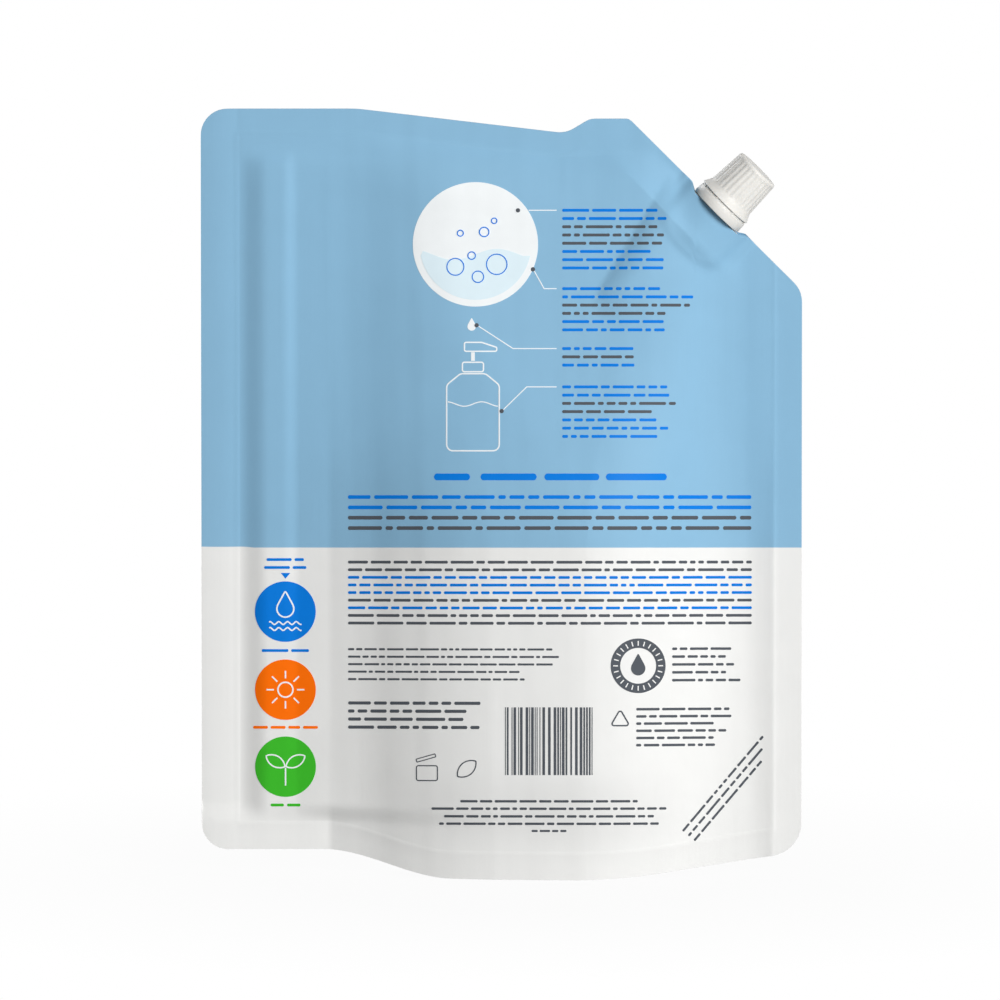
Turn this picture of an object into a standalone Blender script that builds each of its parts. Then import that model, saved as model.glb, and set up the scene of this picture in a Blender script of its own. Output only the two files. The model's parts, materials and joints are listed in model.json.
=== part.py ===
"""Spouted stand-up refill pouch for liquid soap, with its screw closure.

The pouch is a sealed pack, so it is one solid: two film sheets welded along the sides, the top
and a cut corner, with a folded gusset below that lets it stand. A canoe-shaped spout is welded
into the cut corner. Its neck carries a tamper band, and a screw cap with a sealing wad.

X runs across the pack, Y from front to back, Z upwards. The pack stands on Z = 0.
"""

import math

import bmesh
import bpy
from mathutils import Matrix, Vector

MM = 0.001

# Pouch outline, seen from the front
PACK_WIDTH = 238.7 * MM
PACK_HEIGHT = 306.3 * MM
CORNER_RADIUS = 10.5 * MM
TOP_FLAT = 62.0 * MM            # level stretch of the top edge, from the left
TAB_DROP = 4.0 * MM             # how far the tab beside the spout lies below the top edge
TAB_LENGTH = 15.5 * MM
TAB_RISE = 5.8 * MM
TAB_RISE_RUN = 9.7 * MM
CHAMFER_RUN = 68.7 * MM         # width of the cut corner
FOOT_LEVEL_START = 99.4 * MM    # stretch of the foot that touches the ground, from the left
FOOT_LEVEL_END = 145.4 * MM
FOOT_LIFT_LEFT = 9.75 * MM
FOOT_LIFT_RUN = 50.0 * MM
FOOT_LIFT_RIGHT = 9.4 * MM

# Film and weld seams
WELD_THICKNESS = 0.8 * MM
LEFT_WELD = 14.4 * MM
RIGHT_WELD = 11.7 * MM
TOP_WELD = 9.6 * MM
CUT_WELD = 2.0 * MM             # flat weld along the cut corner
CUT_FOLD = 15.5 * MM            # where the film has risen from it to the panel
FOOT_WELD = 10.4 * MM

# Grip strip with its raised rib, left of the filled panel
GRIP_STRIP = 51.0 * MM          # from the left edge to the crease
RIB_START = 15.4 * MM           # from the left edge
RIB_FLANK = 11.0 * MM
RIB_TOP_WIDTH = 6.4 * MM
RIB_HEIGHT = 2.5 * MM
RIB_STEP = 1.1 * MM             # how far the film drops behind the rib
RIB_STEP_RUN = 5.4 * MM
RIB_END_GAP = 5.0 * MM          # from the welds to the rib's two ends
RIB_END_RAMP = 8.4 * MM
CREASE_RISE = 1.9 * MM

# Filled panel: half of its depth at the foot, at the belly and below the top seam
FOOT_DEPTH = 20.0 * MM
BELLY_DEPTH = 26.0 * MM
BELLY_START = 45.0 * MM
BELLY_END = 136.0 * MM
NECK_DEPTH = 12.6 * MM
NECK_LEVEL = 200.0 * MM
TOP_DEPTH = 5.0 * MM
TOP_LEVEL = 267.0 * MM
RIDGE_FROM_LEFT = 152.0 * MM    # fullest line of the belly
RIDGE_SHIFT = 50.0 * MM         # how far that line widens to the left towards the top
RIDGE_RUN = 110.0 * MM          # height over which it widens
RIDGE_SPREAD = 0.4              # its widening to the right, as a share of that to the left
FLANK_WAVE = 0.7                # how far the flank beside the crease turns S-shaped towards the top
PANEL_BORDER = 9.0 * MM         # flat film between the panel's right flank and the right weld
SEAM_ROUND = 24.0 * MM          # length over which the film leaves the top seam
GUSSET_RECESS = 8.0 * MM

# Fold below the spout: a sharp crease that runs down from the cut corner, with a ridge beside it
SHOULDER_ALONG = 21.0 * MM      # its upper end, along the cut edge from the spout's axis
SHOULDER_REACH = 36.0 * MM      # how far it runs down
SHOULDER_SLANT = 0.62           # how far it runs left for each length down
SHOULDER_HEIGHT = 3.2 * MM
SHOULDER_WIDTH = 12.0 * MM      # from the crease to the ridge
SHOULDER_SPREAD = 55.0 * MM     # from the ridge to where it has died away
SHOULDER_FADE = 8.0 * MM

# Spout
SPOUT_ALONG = 50.5 * MM         # from the tab's corner, along the cut edge
BOAT_LENGTH = 34.0 * MM
BOAT_WIDTH = 13.7 * MM
BOAT_HEIGHT = 12.0 * MM
BOAT_TIP = 0.7 * MM
BOAT_RIBS = 4
BOAT_RIB_DEPTH = 0.45 * MM
POCKET_FILM = 0.6 * MM
NOTCH_CLEARANCE = 0.4 * MM
NOTCH_RAMP = 2.6 * MM
NECK_RADIUS = 7.2 * MM
NECK_BORE_RADIUS = 5.7 * MM
BEAD_RADIUS = 8.9 * MM
BEAD_HEIGHT = 1.2 * MM

# Screw thread: two starts
THREAD_STARTS = 2
THREAD_LEAD = 6.0 * MM
THREAD_DEPTH = 0.9 * MM
THREAD_ROOT_WIDTH = 1.1 * MM
THREAD_CREST_WIDTH = 0.5 * MM
THREAD_CLEARANCE = 0.3 * MM
NECK_THREAD_LENGTH = 10.0 * MM
CAP_THREAD_LENGTH = 8.0 * MM

# Tamper band, cap and wad, along the spout's axis
BAND_SINK = 1.6 * MM            # how far the band sits inside the cut edge
BAND_HEIGHT = 4.3 * MM
BAND_RADIUS = 11.9 * MM
BAND_TAPER = 0.2 * MM
BAND_WALL = 1.2 * MM
BAND_FLOOR = 1.5 * MM
BRIDGE_COUNT = 8
BRIDGE_SIZE = 0.7 * MM
TEAR_GAP = 0.65 * MM
CAP_HEIGHT = 18.8 * MM
CAP_SKIRT_RADIUS = 12.0 * MM
CAP_SKIRT_HEIGHT = 3.6 * MM
CAP_BODY_RADIUS = 10.3 * MM
CAP_TOP_RADIUS = 9.5 * MM
CAP_TOP_THICKNESS = 1.3 * MM
CAP_SKIRT_WALL = 1.2 * MM
CAP_EDGE_ROUND = 1.2 * MM
CAP_FLUTES = 27
CAP_FLUTE_DEPTH = 0.3 * MM
WAD_THICKNESS = 0.9 * MM
FIT_GAP = 0.3 * MM              # clearance between neighbouring pieces

# Smoothness
ARC_STEP = math.radians(18)
TURNED_SEGMENTS = 48
COLUMN_STEP = 7.0 * MM
SPOUT_COLUMN_STEP = 2.4 * MM
PANEL_ROWS = 20

# One half of the gusset from its skirt to the flat middle: shares of the half width and the recess
GUSSET_SECTION = ((1.0, 0.0), (0.96, 0.7), (0.88, 1.0), (0.74, 0.72), (0.45, 0.0))

# Lines and places that follow from the sizes above
LEFT = -PACK_WIDTH / 2
RIGHT = PACK_WIDTH / 2
CREASE_X = LEFT + GRIP_STRIP
RIGHT_WELD_X = RIGHT - RIGHT_WELD
PANEL_END_X = RIGHT_WELD_X - PANEL_BORDER
RIDGE_X = LEFT + RIDGE_FROM_LEFT
TAB_CORNER_X = RIGHT - CHAMFER_RUN
TAB_TOP = PACK_HEIGHT - TAB_DROP
TAB_LEFT_X = TAB_CORNER_X - TAB_LENGTH
DIP_X = TAB_LEFT_X - TAB_RISE_RUN
HALF_WELD = WELD_THICKNESS / 2
DIAGONAL = math.sqrt(0.5)
SPOUT_X = TAB_CORNER_X + SPOUT_ALONG * DIAGONAL
SPOUT_Z = TAB_TOP - SPOUT_ALONG * DIAGONAL
NOTCH_DEPTH = BAND_SINK + NOTCH_CLEARANCE
NOTCH_HALF = BAND_RADIUS + NOTCH_CLEARANCE
BOAT_TOP = -NOTCH_DEPTH - FIT_GAP
BAND_TOP = BAND_HEIGHT - BAND_SINK
BEAD_BOTTOM = BAND_FLOOR - BAND_SINK + FIT_GAP
CAP_BASE = BAND_TOP + TEAR_GAP
CAP_TOP = CAP_BASE + CAP_HEIGHT
CEILING = CAP_TOP - CAP_TOP_THICKNESS
WAD_TOP = CEILING - FIT_GAP
NECK_TOP = WAD_TOP - WAD_THICKNESS - FIT_GAP
THREAD_CREST = NECK_RADIUS + THREAD_DEPTH
CAP_BORE_RADIUS = THREAD_CREST + THREAD_CLEARANCE
NECK_THREAD_START = CAP_BASE + THREAD_LEAD / 3
CAP_THREAD_START = NECK_THREAD_START + THREAD_LEAD / THREAD_STARTS / 2


def smooth(t):
    """Ease from 0 to 1 as t goes from 0 to 1, level at both ends."""
    t = min(max(t, 0.0), 1.0)
    return t * t * (3 - 2 * t)


def flow(knots, x):
    """A smooth curve through knots (x, value) that turns only where they do, level at its ends."""
    if x <= knots[0][0]:
        return knots[0][1]
    if x >= knots[-1][0]:
        return knots[-1][1]
    slopes = [(b[1] - a[1]) / (b[0] - a[0]) for a, b in zip(knots, knots[1:])]
    tangents = [0.0]
    for before, after in zip(slopes, slopes[1:]):
        tangents.append(2 * before * after / (before + after) if before * after > 0 else 0.0)
    tangents.append(0.0)
    k = next(i for i in range(len(slopes)) if x <= knots[i + 1][0])
    run = knots[k + 1][0] - knots[k][0]
    t = (x - knots[k][0]) / run
    rise = knots[k + 1][1] - knots[k][1]
    ease = t * (1 - t) * run
    return knots[k][1] + rise * smooth(t) + ease * ((1 - t) * tangents[k] - t * tangents[k + 1])


def rounded(corners):
    """An open path through corners (x, y, radius), each inner one rounded to its radius."""
    path = [Vector(corners[0][:2])]
    for before, corner, after in zip(corners, corners[1:], corners[2:]):
        here = Vector(corner[:2])
        back = (Vector(before[:2]) - here).normalized()
        ahead = (Vector(after[:2]) - here).normalized()
        half = back.angle(ahead) / 2
        radius = corner[2]
        if radius == 0 or half > math.radians(89.5):
            path.append(here)
            continue
        centre = here + (back + ahead).normalized() * (radius / math.sin(half))
        spoke = here + back * (radius / math.tan(half)) - centre
        turn = math.pi - 2 * half
        turn = turn if back.cross(ahead) < 0 else -turn
        steps = max(1, math.ceil(abs(turn) / ARC_STEP))
        path += [centre + Matrix.Rotation(turn * k / steps, 2) @ spoke for k in range(steps + 1)]
    path.append(Vector(corners[-1][:2]))
    return path


def height_at(path, x):
    """The path's second coordinate where its first one is x."""
    for start, end in zip(path, path[1:]):
        if start.x <= x <= end.x and end.x > start.x:
            return start.y + (end.y - start.y) * (x - start.x) / (end.x - start.x)
    return path[0].y if x < path[0].x else path[-1].y


def on_cut_edge(along, inward):
    """A point given along the cut edge from the spout's axis, and inwards from that edge."""
    return SPOUT_X + (along - inward) * DIAGONAL, SPOUT_Z - (along + inward) * DIAGONAL


def top_edge():
    """The pouch's upper edge, from its left side over the tab and down the cut corner."""
    middle = PACK_HEIGHT / 2
    corner_z = TAB_TOP - CHAMFER_RUN
    ramp_foot = NOTCH_HALF + NOTCH_RAMP
    corners = [
        (LEFT, middle, 0),
        (LEFT, PACK_HEIGHT, CORNER_RADIUS),
        (LEFT + TOP_FLAT, PACK_HEIGHT, 4 * CORNER_RADIUS),
        (DIP_X, TAB_TOP - TAB_RISE, CORNER_RADIUS),
        (TAB_LEFT_X, TAB_TOP, 0.7 * CORNER_RADIUS),
        (TAB_CORNER_X, TAB_TOP, 0.3 * CORNER_RADIUS),
        (*on_cut_edge(-ramp_foot, 0), NOTCH_DEPTH),
        (*on_cut_edge(-NOTCH_HALF, NOTCH_DEPTH), NOTCH_DEPTH),
        (*on_cut_edge(NOTCH_HALF, NOTCH_DEPTH), NOTCH_DEPTH),
        (*on_cut_edge(ramp_foot, 0), NOTCH_DEPTH),
        (RIGHT, corner_z, CORNER_RADIUS),
        (RIGHT, middle, 0),
    ]
    return rounded(corners)[1:-1]


TOP_EDGE = top_edge()


def foot_edge(x):
    """Height of the pouch's lower edge: level in the middle and lifted towards both sides."""
    start = LEFT + FOOT_LEVEL_START
    end = LEFT + FOOT_LEVEL_END
    lift = FOOT_LIFT_LEFT * smooth((start - x) / FOOT_LIFT_RUN)
    if x > end:
        lift = FOOT_LIFT_RIGHT * ((x - end) / (RIGHT - end)) ** 2
    inset = CORNER_RADIUS - min(x - LEFT, RIGHT - x)
    if inset > 0:
        lift += CORNER_RADIUS - math.sqrt(max(CORNER_RADIUS ** 2 - inset ** 2, 0.0))
    return lift


def top_weld(x):
    """Upright width of the weld below the upper edge, or of the film's rise beside the cut edge."""
    return flow([(TAB_LEFT_X, TOP_WELD), (TAB_CORNER_X, CUT_FOLD / DIAGONAL)], x)


def inside_cut_edge(x, z):
    """Distance of a point from the cut edge, inwards."""
    return (SPOUT_X - x + SPOUT_Z - z) * DIAGONAL


def seam_factor(x, z):
    """0 at the upper welds, growing to 1 where the film has left them."""
    below = height_at(TOP_EDGE, min(x, TAB_LEFT_X)) - TOP_WELD - z
    away = min(max(below / SEAM_ROUND, 0.0), 1.0)
    beside_cut = (inside_cut_edge(x, z) - CUT_WELD) / (CUT_FOLD - CUT_WELD)
    return (1 - (1 - away) ** 2) * min(max(beside_cut, 0.0), 1.0)


def belly_depth(z):
    """Half of the filled panel's depth along its fullest line."""
    return flow([(FOOT_WELD, FOOT_DEPTH), (BELLY_START, BELLY_DEPTH), (BELLY_END, BELLY_DEPTH),
                 (NECK_LEVEL, NECK_DEPTH), (TOP_LEVEL, TOP_DEPTH)], z)


def section(x, z):
    """Share of the full depth across the panel, 0 at the crease and beside the right weld."""
    upper = smooth((z - BELLY_END) / RIDGE_RUN)
    left_end = RIDGE_X - RIDGE_SHIFT * upper
    right_end = RIDGE_X + RIDGE_SHIFT * RIDGE_SPREAD * upper
    if x < left_end:
        away = (left_end - x) / (left_end - CREASE_X)
        wave = FLANK_WAVE * upper
        return 1 - (1 - wave) * away ** 2 - wave * (1 - math.cos(math.pi * away)) / 2
    away = min(max(x - right_end, 0.0) / (PANEL_END_X - right_end), 1.0)
    return (1 + math.cos(math.pi * away)) / 2


def grip_relief(x, z):
    """The grip strip's raised rib and its rise towards the crease."""
    across = x - LEFT - RIB_START
    rib_foot = FOOT_LIFT_LEFT + FOOT_WELD
    rib_head = PACK_HEIGHT - TOP_WELD - RIB_END_GAP
    ends = smooth((z - rib_foot) / RIB_END_RAMP) * smooth((rib_head - z) / RIB_END_RAMP)
    flat = RIB_FLANK + RIB_TOP_WIDTH
    behind = flat + RIB_STEP_RUN
    rib = flow([(0, 0), (RIB_FLANK, RIB_HEIGHT), (flat, RIB_HEIGHT), (behind, RIB_HEIGHT - RIB_STEP)],
               across)
    slope = max(across - behind, 0.0) / (GRIP_STRIP - RIB_START - behind)
    return rib * ends + CREASE_RISE * slope * belly_depth(z) / BELLY_DEPTH


def shoulder(x, z):
    """Height of the ridge beside the fold below the spout."""
    top_x, top_z = on_cut_edge(-SHOULDER_ALONG, CUT_FOLD)
    right = x - top_x + (top_z - z) * SHOULDER_SLANT
    if right <= 0:
        return 0.0
    rise = 1 - (1 - min(right / SHOULDER_WIDTH, 1.0)) ** 2
    spread = 1 - smooth((right - SHOULDER_WIDTH) / SHOULDER_SPREAD)
    below = top_z - SHOULDER_REACH - z
    fade = 1 - smooth(0.3 + below / (SHOULDER_FADE + right))
    beside_weld = smooth((RIGHT_WELD_X - x) / (2 * SHOULDER_WIDTH))
    return SHOULDER_HEIGHT * rise * spread * fade * beside_weld


def boat_half_width(along):
    """Half of the spout base's width at a distance along it from the axis."""
    share = min(abs(along) / (BOAT_LENGTH / 2), 1.0)
    return BOAT_TIP / 2 + (BOAT_WIDTH - BOAT_TIP) / 2 * (1 - share ** 1.7)


def spout_bulge(x, z):
    """Half depth that the film needs to pass over the spout's base."""
    along = ((x - SPOUT_X) - (z - SPOUT_Z)) * DIAGONAL
    end = NOTCH_DEPTH + BOAT_HEIGHT + 2 * FIT_GAP
    cover = boat_half_width(along) + FIT_GAP + POCKET_FILM
    past_tip = (abs(along) - BOAT_LENGTH / 2 - FIT_GAP) / SPOUT_COLUMN_STEP
    past_end = (inside_cut_edge(x, z) - end) / BOAT_HEIGHT
    return cover * (1 - smooth(past_tip - 0.5)) * (1 - smooth(past_end))


def half_depth(x, z):
    """Distance from the pouch's middle plane to its outer face."""
    if x <= LEFT + RIB_START or x >= RIGHT_WELD_X:
        body = 0.0
    elif x < CREASE_X:
        body = grip_relief(x, z)
    else:
        fade = ((RIGHT_WELD_X - x) / (RIGHT_WELD_X - CREASE_X)) ** 4
        body = belly_depth(z) * section(x, z) + grip_relief(CREASE_X, z) * fade + shoulder(x, z)
    return max(HALF_WELD + body * seam_factor(x, z), spout_bulge(x, z))


def columns():
    """Places across the pack at which its sections are taken."""
    corner = [CORNER_RADIUS * (1 - math.cos(math.radians(a))) for a in (0, 20, 38, 56, 74, 90)]
    ramp_foot = NOTCH_HALF + NOTCH_RAMP
    rib = LEFT + RIB_START
    behind = rib + RIB_FLANK + RIB_TOP_WIDTH
    fixed = [LEFT + c for c in corner] + [RIGHT - c for c in corner]
    fixed += [rib + RIB_FLANK * share for share in (0, 0.25, 0.5, 0.75, 1)]
    fixed += [LEFT + LEFT_WELD, behind, behind + RIB_STEP_RUN / 2, behind + RIB_STEP_RUN, CREASE_X,
              LEFT + TOP_FLAT, DIP_X, RIDGE_X, TAB_LEFT_X, TAB_CORNER_X, PANEL_END_X, RIGHT_WELD_X]
    fixed += [on_cut_edge(-ramp_foot, 0)[0], on_cut_edge(-NOTCH_HALF, NOTCH_DEPTH)[0],
              on_cut_edge(NOTCH_HALF, NOTCH_DEPTH)[0], on_cut_edge(ramp_foot, 0)[0]]
    fixed.sort()
    places = [fixed[0]]
    for start, end in zip(fixed, fixed[1:]):
        near_spout = abs((start + end) / 2 - SPOUT_X) < BOAT_LENGTH * 0.55
        step = SPOUT_COLUMN_STEP if near_spout else COLUMN_STEP
        count = max(1, round((end - start) / step))
        if end - places[-1] < FIT_GAP:
            continue
        places += [start + (end - start) * (k + 1) / count for k in range(count)]
    return places


def rows(x):
    """Heights at which one column is sampled, closer together beside the welds."""
    foot = foot_edge(x)
    head = height_at(TOP_EDGE, x)
    weld = head - top_weld(x)
    low = foot + FOOT_WELD
    near = (RIB_END_RAMP / 3, RIB_END_RAMP * 0.8)
    inner_low = low + 2 * near[1]
    inner_high = weld - 2 * near[1]
    levels = [foot, low, low + near[0], low + near[1]]
    levels += [inner_low + (inner_high - inner_low) * k / PANEL_ROWS for k in range(PANEL_ROWS + 1)]
    levels += [weld - near[1], weld - near[0], weld]
    levels += [weld + (head - weld) * share for share in (0.3, 0.6, 0.87, 1.0)]
    return levels


def gusset(x):
    """Points (y, z) under the pack from its front face to its back face, with the gusset's folds."""
    foot = foot_edge(x)
    half = half_depth(x, foot)
    open_share = smooth((half - 2.5 * WELD_THICKNESS) / (FOOT_DEPTH / 2))
    inner = half - WELD_THICKNESS * min(1.0, half / (4 * HALF_WELD))
    recess = GUSSET_RECESS * open_share
    one_side = [(inner * across, foot + recess * up) for across, up in GUSSET_SECTION]
    front = [(-y, z) for y, z in one_side]
    return front + one_side[::-1]


def new_object(name, mesh, material):
    """Add a mesh to the scene as a named object with one material."""
    mesh.name = name
    obj = bpy.data.objects.new(name, mesh)
    bpy.context.scene.collection.objects.link(obj)
    if material is not None:
        mesh.materials.append(material)
    return obj


def finish(bm, smooth_angle=None):
    """Close off a bmesh as a mesh whose faces point outwards."""
    bmesh.ops.recalc_face_normals(bm, faces=bm.faces)
    mesh = bpy.data.meshes.new("mesh")
    bm.to_mesh(mesh)
    bm.free()
    if smooth_angle is not None:
        mesh.shade_smooth()
        mesh.set_sharp_from_angle(angle=math.radians(smooth_angle))
    return mesh


def pouch_mesh():
    """The sealed pouch: front and back film, closed by the weld edges and the gusset."""
    bm = bmesh.new()
    front = []
    back = []
    under = []
    places = columns()
    for x in places:
        levels = rows(x)
        depths = [half_depth(x, z) for z in levels]
        front.append([bm.verts.new((x, -d, z)) for d, z in zip(depths, levels)])
        back.append([bm.verts.new((x, d, z)) for d, z in zip(depths, levels)])
        across = [bm.verts.new((x, y, z)) for y, z in gusset(x)]
        under.append([front[-1][0]] + across + [back[-1][0]])
    for i in range(len(places) - 1):
        for sheet in (front, back, under):
            for a, b, c, d in zip(sheet[i], sheet[i][1:], sheet[i + 1][1:], sheet[i + 1]):
                bm.faces.new((a, b, c, d))
        bm.faces.new((front[i][-1], front[i + 1][-1], back[i + 1][-1], back[i][-1]))
    for i in (0, -1):
        bm.faces.new(under[i] + [back[i][1], front[i][1]])
        for a, b, c, d in zip(front[i][1:], front[i][2:], back[i][2:], back[i][1:]):
            bm.faces.new((a, b, c, d))
    return finish(bm, 25)


def turned(profile, segments, flute=None):
    """A turned solid: its profile (radius, z) runs from axis to axis, or is a closed loop."""
    bm = bmesh.new()
    rings = []
    for index, (radius, z) in enumerate(profile):
        if radius == 0:
            rings.append([bm.verts.new((0, 0, z))])
            continue
        ring = []
        for k in range(segments):
            angle = 2 * math.pi * k / segments
            r = radius - (flute(index, k) if flute else 0.0)
            ring.append(bm.verts.new((r * math.cos(angle), r * math.sin(angle), z)))
        rings.append(ring)
    closed = profile[0][0] > 0
    pairs = list(zip(rings, rings[1:])) + ([(rings[-1], rings[0])] if closed else [])
    for low, high in pairs:
        for k in range(segments):
            n = (k + 1) % segments
            if len(low) == 1:
                bm.faces.new((low[0], high[k], high[n]))
            elif len(high) == 1:
                bm.faces.new((low[k], low[n], high[0]))
            else:
                bm.faces.new((low[k], low[n], high[n], high[k]))
    return bm


def thread_ridges(root, crest, start, length):
    """Helical ridges of a right-handed thread, one for each start, fading out at both ends."""
    bm = bmesh.new()
    steps_per_turn = 24
    turns = length / THREAD_LEAD
    count = math.ceil(turns * steps_per_turn)
    for begin in range(THREAD_STARTS):
        sections = []
        for k in range(count + 1):
            share = k / count
            fade = min(1.0, min(share, 1 - share) * turns * 8)
            angle = 2 * math.pi * (begin / THREAD_STARTS + share * turns)
            z = start + share * length
            top = root + (crest - root) * (0.2 + 0.8 * fade)
            points = [(root, -THREAD_ROOT_WIDTH / 2), (top, -THREAD_CREST_WIDTH / 2),
                      (top, THREAD_CREST_WIDTH / 2), (root, THREAD_ROOT_WIDTH / 2)]
            sections.append([bm.verts.new((r * math.cos(angle), r * math.sin(angle), z + dz))
                             for r, dz in points])
        for a, b in zip(sections, sections[1:]):
            for k in range(4):
                n = (k + 1) % 4
                bm.faces.new((a[k], a[n], b[n], b[k]))
        bm.faces.new(sections[0])
        bm.faces.new(sections[-1])
    return bm


def boat_outline(grow, scale_width):
    """The spout base's lens-shaped outline, as (x, y) points."""
    half = BOAT_LENGTH / 2
    shares = [math.sin(math.radians(a)) for a in range(-90, 91, 15)]
    side = [(s * (half + grow), boat_half_width(s * half) - scale_width + grow) for s in shares]
    return side + [(x, -y) for x, y in reversed(side)]


def lofted(outlines):
    """A solid through outlines of equal length, each a list of (x, y) points with its height."""
    bm = bmesh.new()
    rings = [[bm.verts.new((x, y, z)) for x, y in points] for points, z in outlines]
    for low, high in zip(rings, rings[1:]):
        for k in range(len(low)):
            n = (k + 1) % len(low)
            bm.faces.new((low[k], low[n], high[n], high[k]))
    bm.faces.new(rings[0])
    bm.faces.new(rings[-1])
    return bm


def boat_mesh():
    """The canoe-shaped base that is welded between the films, with its weld ribs."""
    pitch = BOAT_HEIGHT / BOAT_RIBS
    outlines = []
    for k in range(BOAT_RIBS):
        low = BOAT_TOP - BOAT_HEIGHT + k * pitch
        waist = min(BOAT_RIB_DEPTH, BOAT_TIP / 3)
        outlines.append((boat_outline(0, 0), low))
        outlines.append((boat_outline(0, 0), low + 0.55 * pitch))
        if k < BOAT_RIBS - 1:
            outlines.append((boat_outline(0, waist), low + 0.65 * pitch))
            outlines.append((boat_outline(0, waist), low + 0.9 * pitch))
    outlines[-1] = (outlines[-1][0], BOAT_TOP)
    return finish(lofted(outlines), 30)


def cap_profile():
    """The cap's section from the axis over the outside to the ceiling, with its flute weights."""
    top_edge_z = CAP_TOP - CAP_EDGE_ROUND
    skirt_top = CAP_BASE + CAP_SKIRT_HEIGHT
    lean = (CAP_BODY_RADIUS - CAP_TOP_RADIUS) / (top_edge_z - skirt_top)
    outer = rounded([
        (0, CAP_TOP, 0),
        (CAP_TOP_RADIUS, CAP_TOP, CAP_EDGE_ROUND),
        (CAP_TOP_RADIUS + lean * CAP_EDGE_ROUND, top_edge_z - CAP_EDGE_ROUND, 0)])
    points = [(p.x, p.y, 0.0) for p in outer[:-1]]
    for share, weight in ((0.06, 1.0), (0.5, 1.0), (0.9, 1.0), (1.0, 0.0)):
        z = top_edge_z + (skirt_top - top_edge_z) * share
        points.append((CAP_TOP_RADIUS + lean * (top_edge_z - z), z, weight))
    flare = CAP_SKIRT_RADIUS - CAP_BODY_RADIUS
    points.append((CAP_BODY_RADIUS + 0.35 * flare, CAP_BASE + 0.62 * CAP_SKIRT_HEIGHT, 0.0))
    points.append((CAP_BODY_RADIUS + 0.75 * flare, CAP_BASE + 0.3 * CAP_SKIRT_HEIGHT, 0.0))
    points.append((CAP_SKIRT_RADIUS, CAP_BASE + 0.1 * CAP_SKIRT_HEIGHT, 0.0))
    points.append((CAP_SKIRT_RADIUS - FIT_GAP, CAP_BASE, 0.0))
    points.append((CAP_SKIRT_RADIUS - CAP_SKIRT_WALL, CAP_BASE, 0.0))
    points.append((CAP_BORE_RADIUS, CAP_BASE + 0.55 * CAP_SKIRT_HEIGHT, 0.0))
    points.append((CAP_BORE_RADIUS, CEILING, 0.0))
    points.append((0, CEILING, 0.0))
    return points


def combine(obj, other, operation):
    """Join another solid to an object, or cut it away, and hide the other one."""
    modifier = obj.modifiers.new(operation.lower(), "BOOLEAN")
    modifier.operation = operation
    modifier.solver = "EXACT"
    modifier.object = other
    other.hide_render = True
    other.display_type = "WIRE"


def plastic(name, colour, roughness):
    """A Principled material."""
    material = bpy.data.materials.new(name)
    material.use_nodes = True
    shader = material.node_tree.nodes["Principled BSDF"]
    shader.inputs["Base Color"].default_value = (*colour, 1.0)
    shader.inputs["Roughness"].default_value = roughness
    shader.inputs["Metallic"].default_value = 0.0
    return material


def spout_axis():
    """The empty that places every turned piece on the spout's slanted axis."""
    axis = bpy.data.objects.new("spout_axis", None)
    axis.location = (SPOUT_X, 0, SPOUT_Z)
    axis.rotation_euler = (0, math.radians(45), 0)
    bpy.context.scene.collection.objects.link(axis)
    return axis


def make_pouch(axis):
    film = plastic("printed_film", (0.27, 0.50, 0.70), 0.4)
    pouch = new_object("pouch", pouch_mesh(), film)
    low = BOAT_TOP - BOAT_HEIGHT - FIT_GAP
    high = BOAT_TOP + 3 * FIT_GAP
    outline = boat_outline(FIT_GAP, 0)
    cutter = new_object("spout_pocket", finish(lofted([(outline, low), (outline, high)])), None)
    cutter.parent = axis
    combine(pouch, cutter, "DIFFERENCE")
    return pouch


def make_spout(axis):
    moulding = plastic("spout_plastic", (0.80, 0.79, 0.76), 0.35)
    bead_top = BEAD_BOTTOM + BEAD_HEIGHT
    lip = 0.4 * MM
    root = BOAT_WIDTH / 2 - FIT_GAP
    neck = [(0, BOAT_TOP - BOAT_HEIGHT / 2), (root, BOAT_TOP - BOAT_HEIGHT / 2),
            (root, -NOTCH_DEPTH), (NECK_RADIUS, FIT_GAP - NOTCH_DEPTH),
            (NECK_RADIUS, BEAD_BOTTOM), (BEAD_RADIUS, BEAD_BOTTOM), (BEAD_RADIUS, BEAD_BOTTOM + lip),
            (NECK_RADIUS, bead_top), (NECK_RADIUS, NECK_TOP - lip),
            (NECK_RADIUS - lip, NECK_TOP), (0, NECK_TOP)]
    spout = new_object("spout", finish(turned(neck, TURNED_SEGMENTS), 30), moulding)
    boat = new_object("spout_base", boat_mesh(), moulding)
    ridges = new_object("neck_thread", finish(thread_ridges(
        NECK_RADIUS - THREAD_CLEARANCE, THREAD_CREST, NECK_THREAD_START, NECK_THREAD_LENGTH)), moulding)
    bore = new_object("spout_bore", finish(turned(
        [(0, BOAT_TOP - BOAT_HEIGHT - FIT_GAP), (NECK_BORE_RADIUS, BOAT_TOP - BOAT_HEIGHT - FIT_GAP),
         (NECK_BORE_RADIUS, NECK_TOP + FIT_GAP), (0, NECK_TOP + FIT_GAP)], TURNED_SEGMENTS), 30), None)
    combine(spout, boat, "UNION")
    combine(spout, ridges, "UNION")
    combine(spout, bore, "DIFFERENCE")
    for piece in (spout, boat, ridges, bore):
        piece.parent = axis
    return spout


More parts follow.
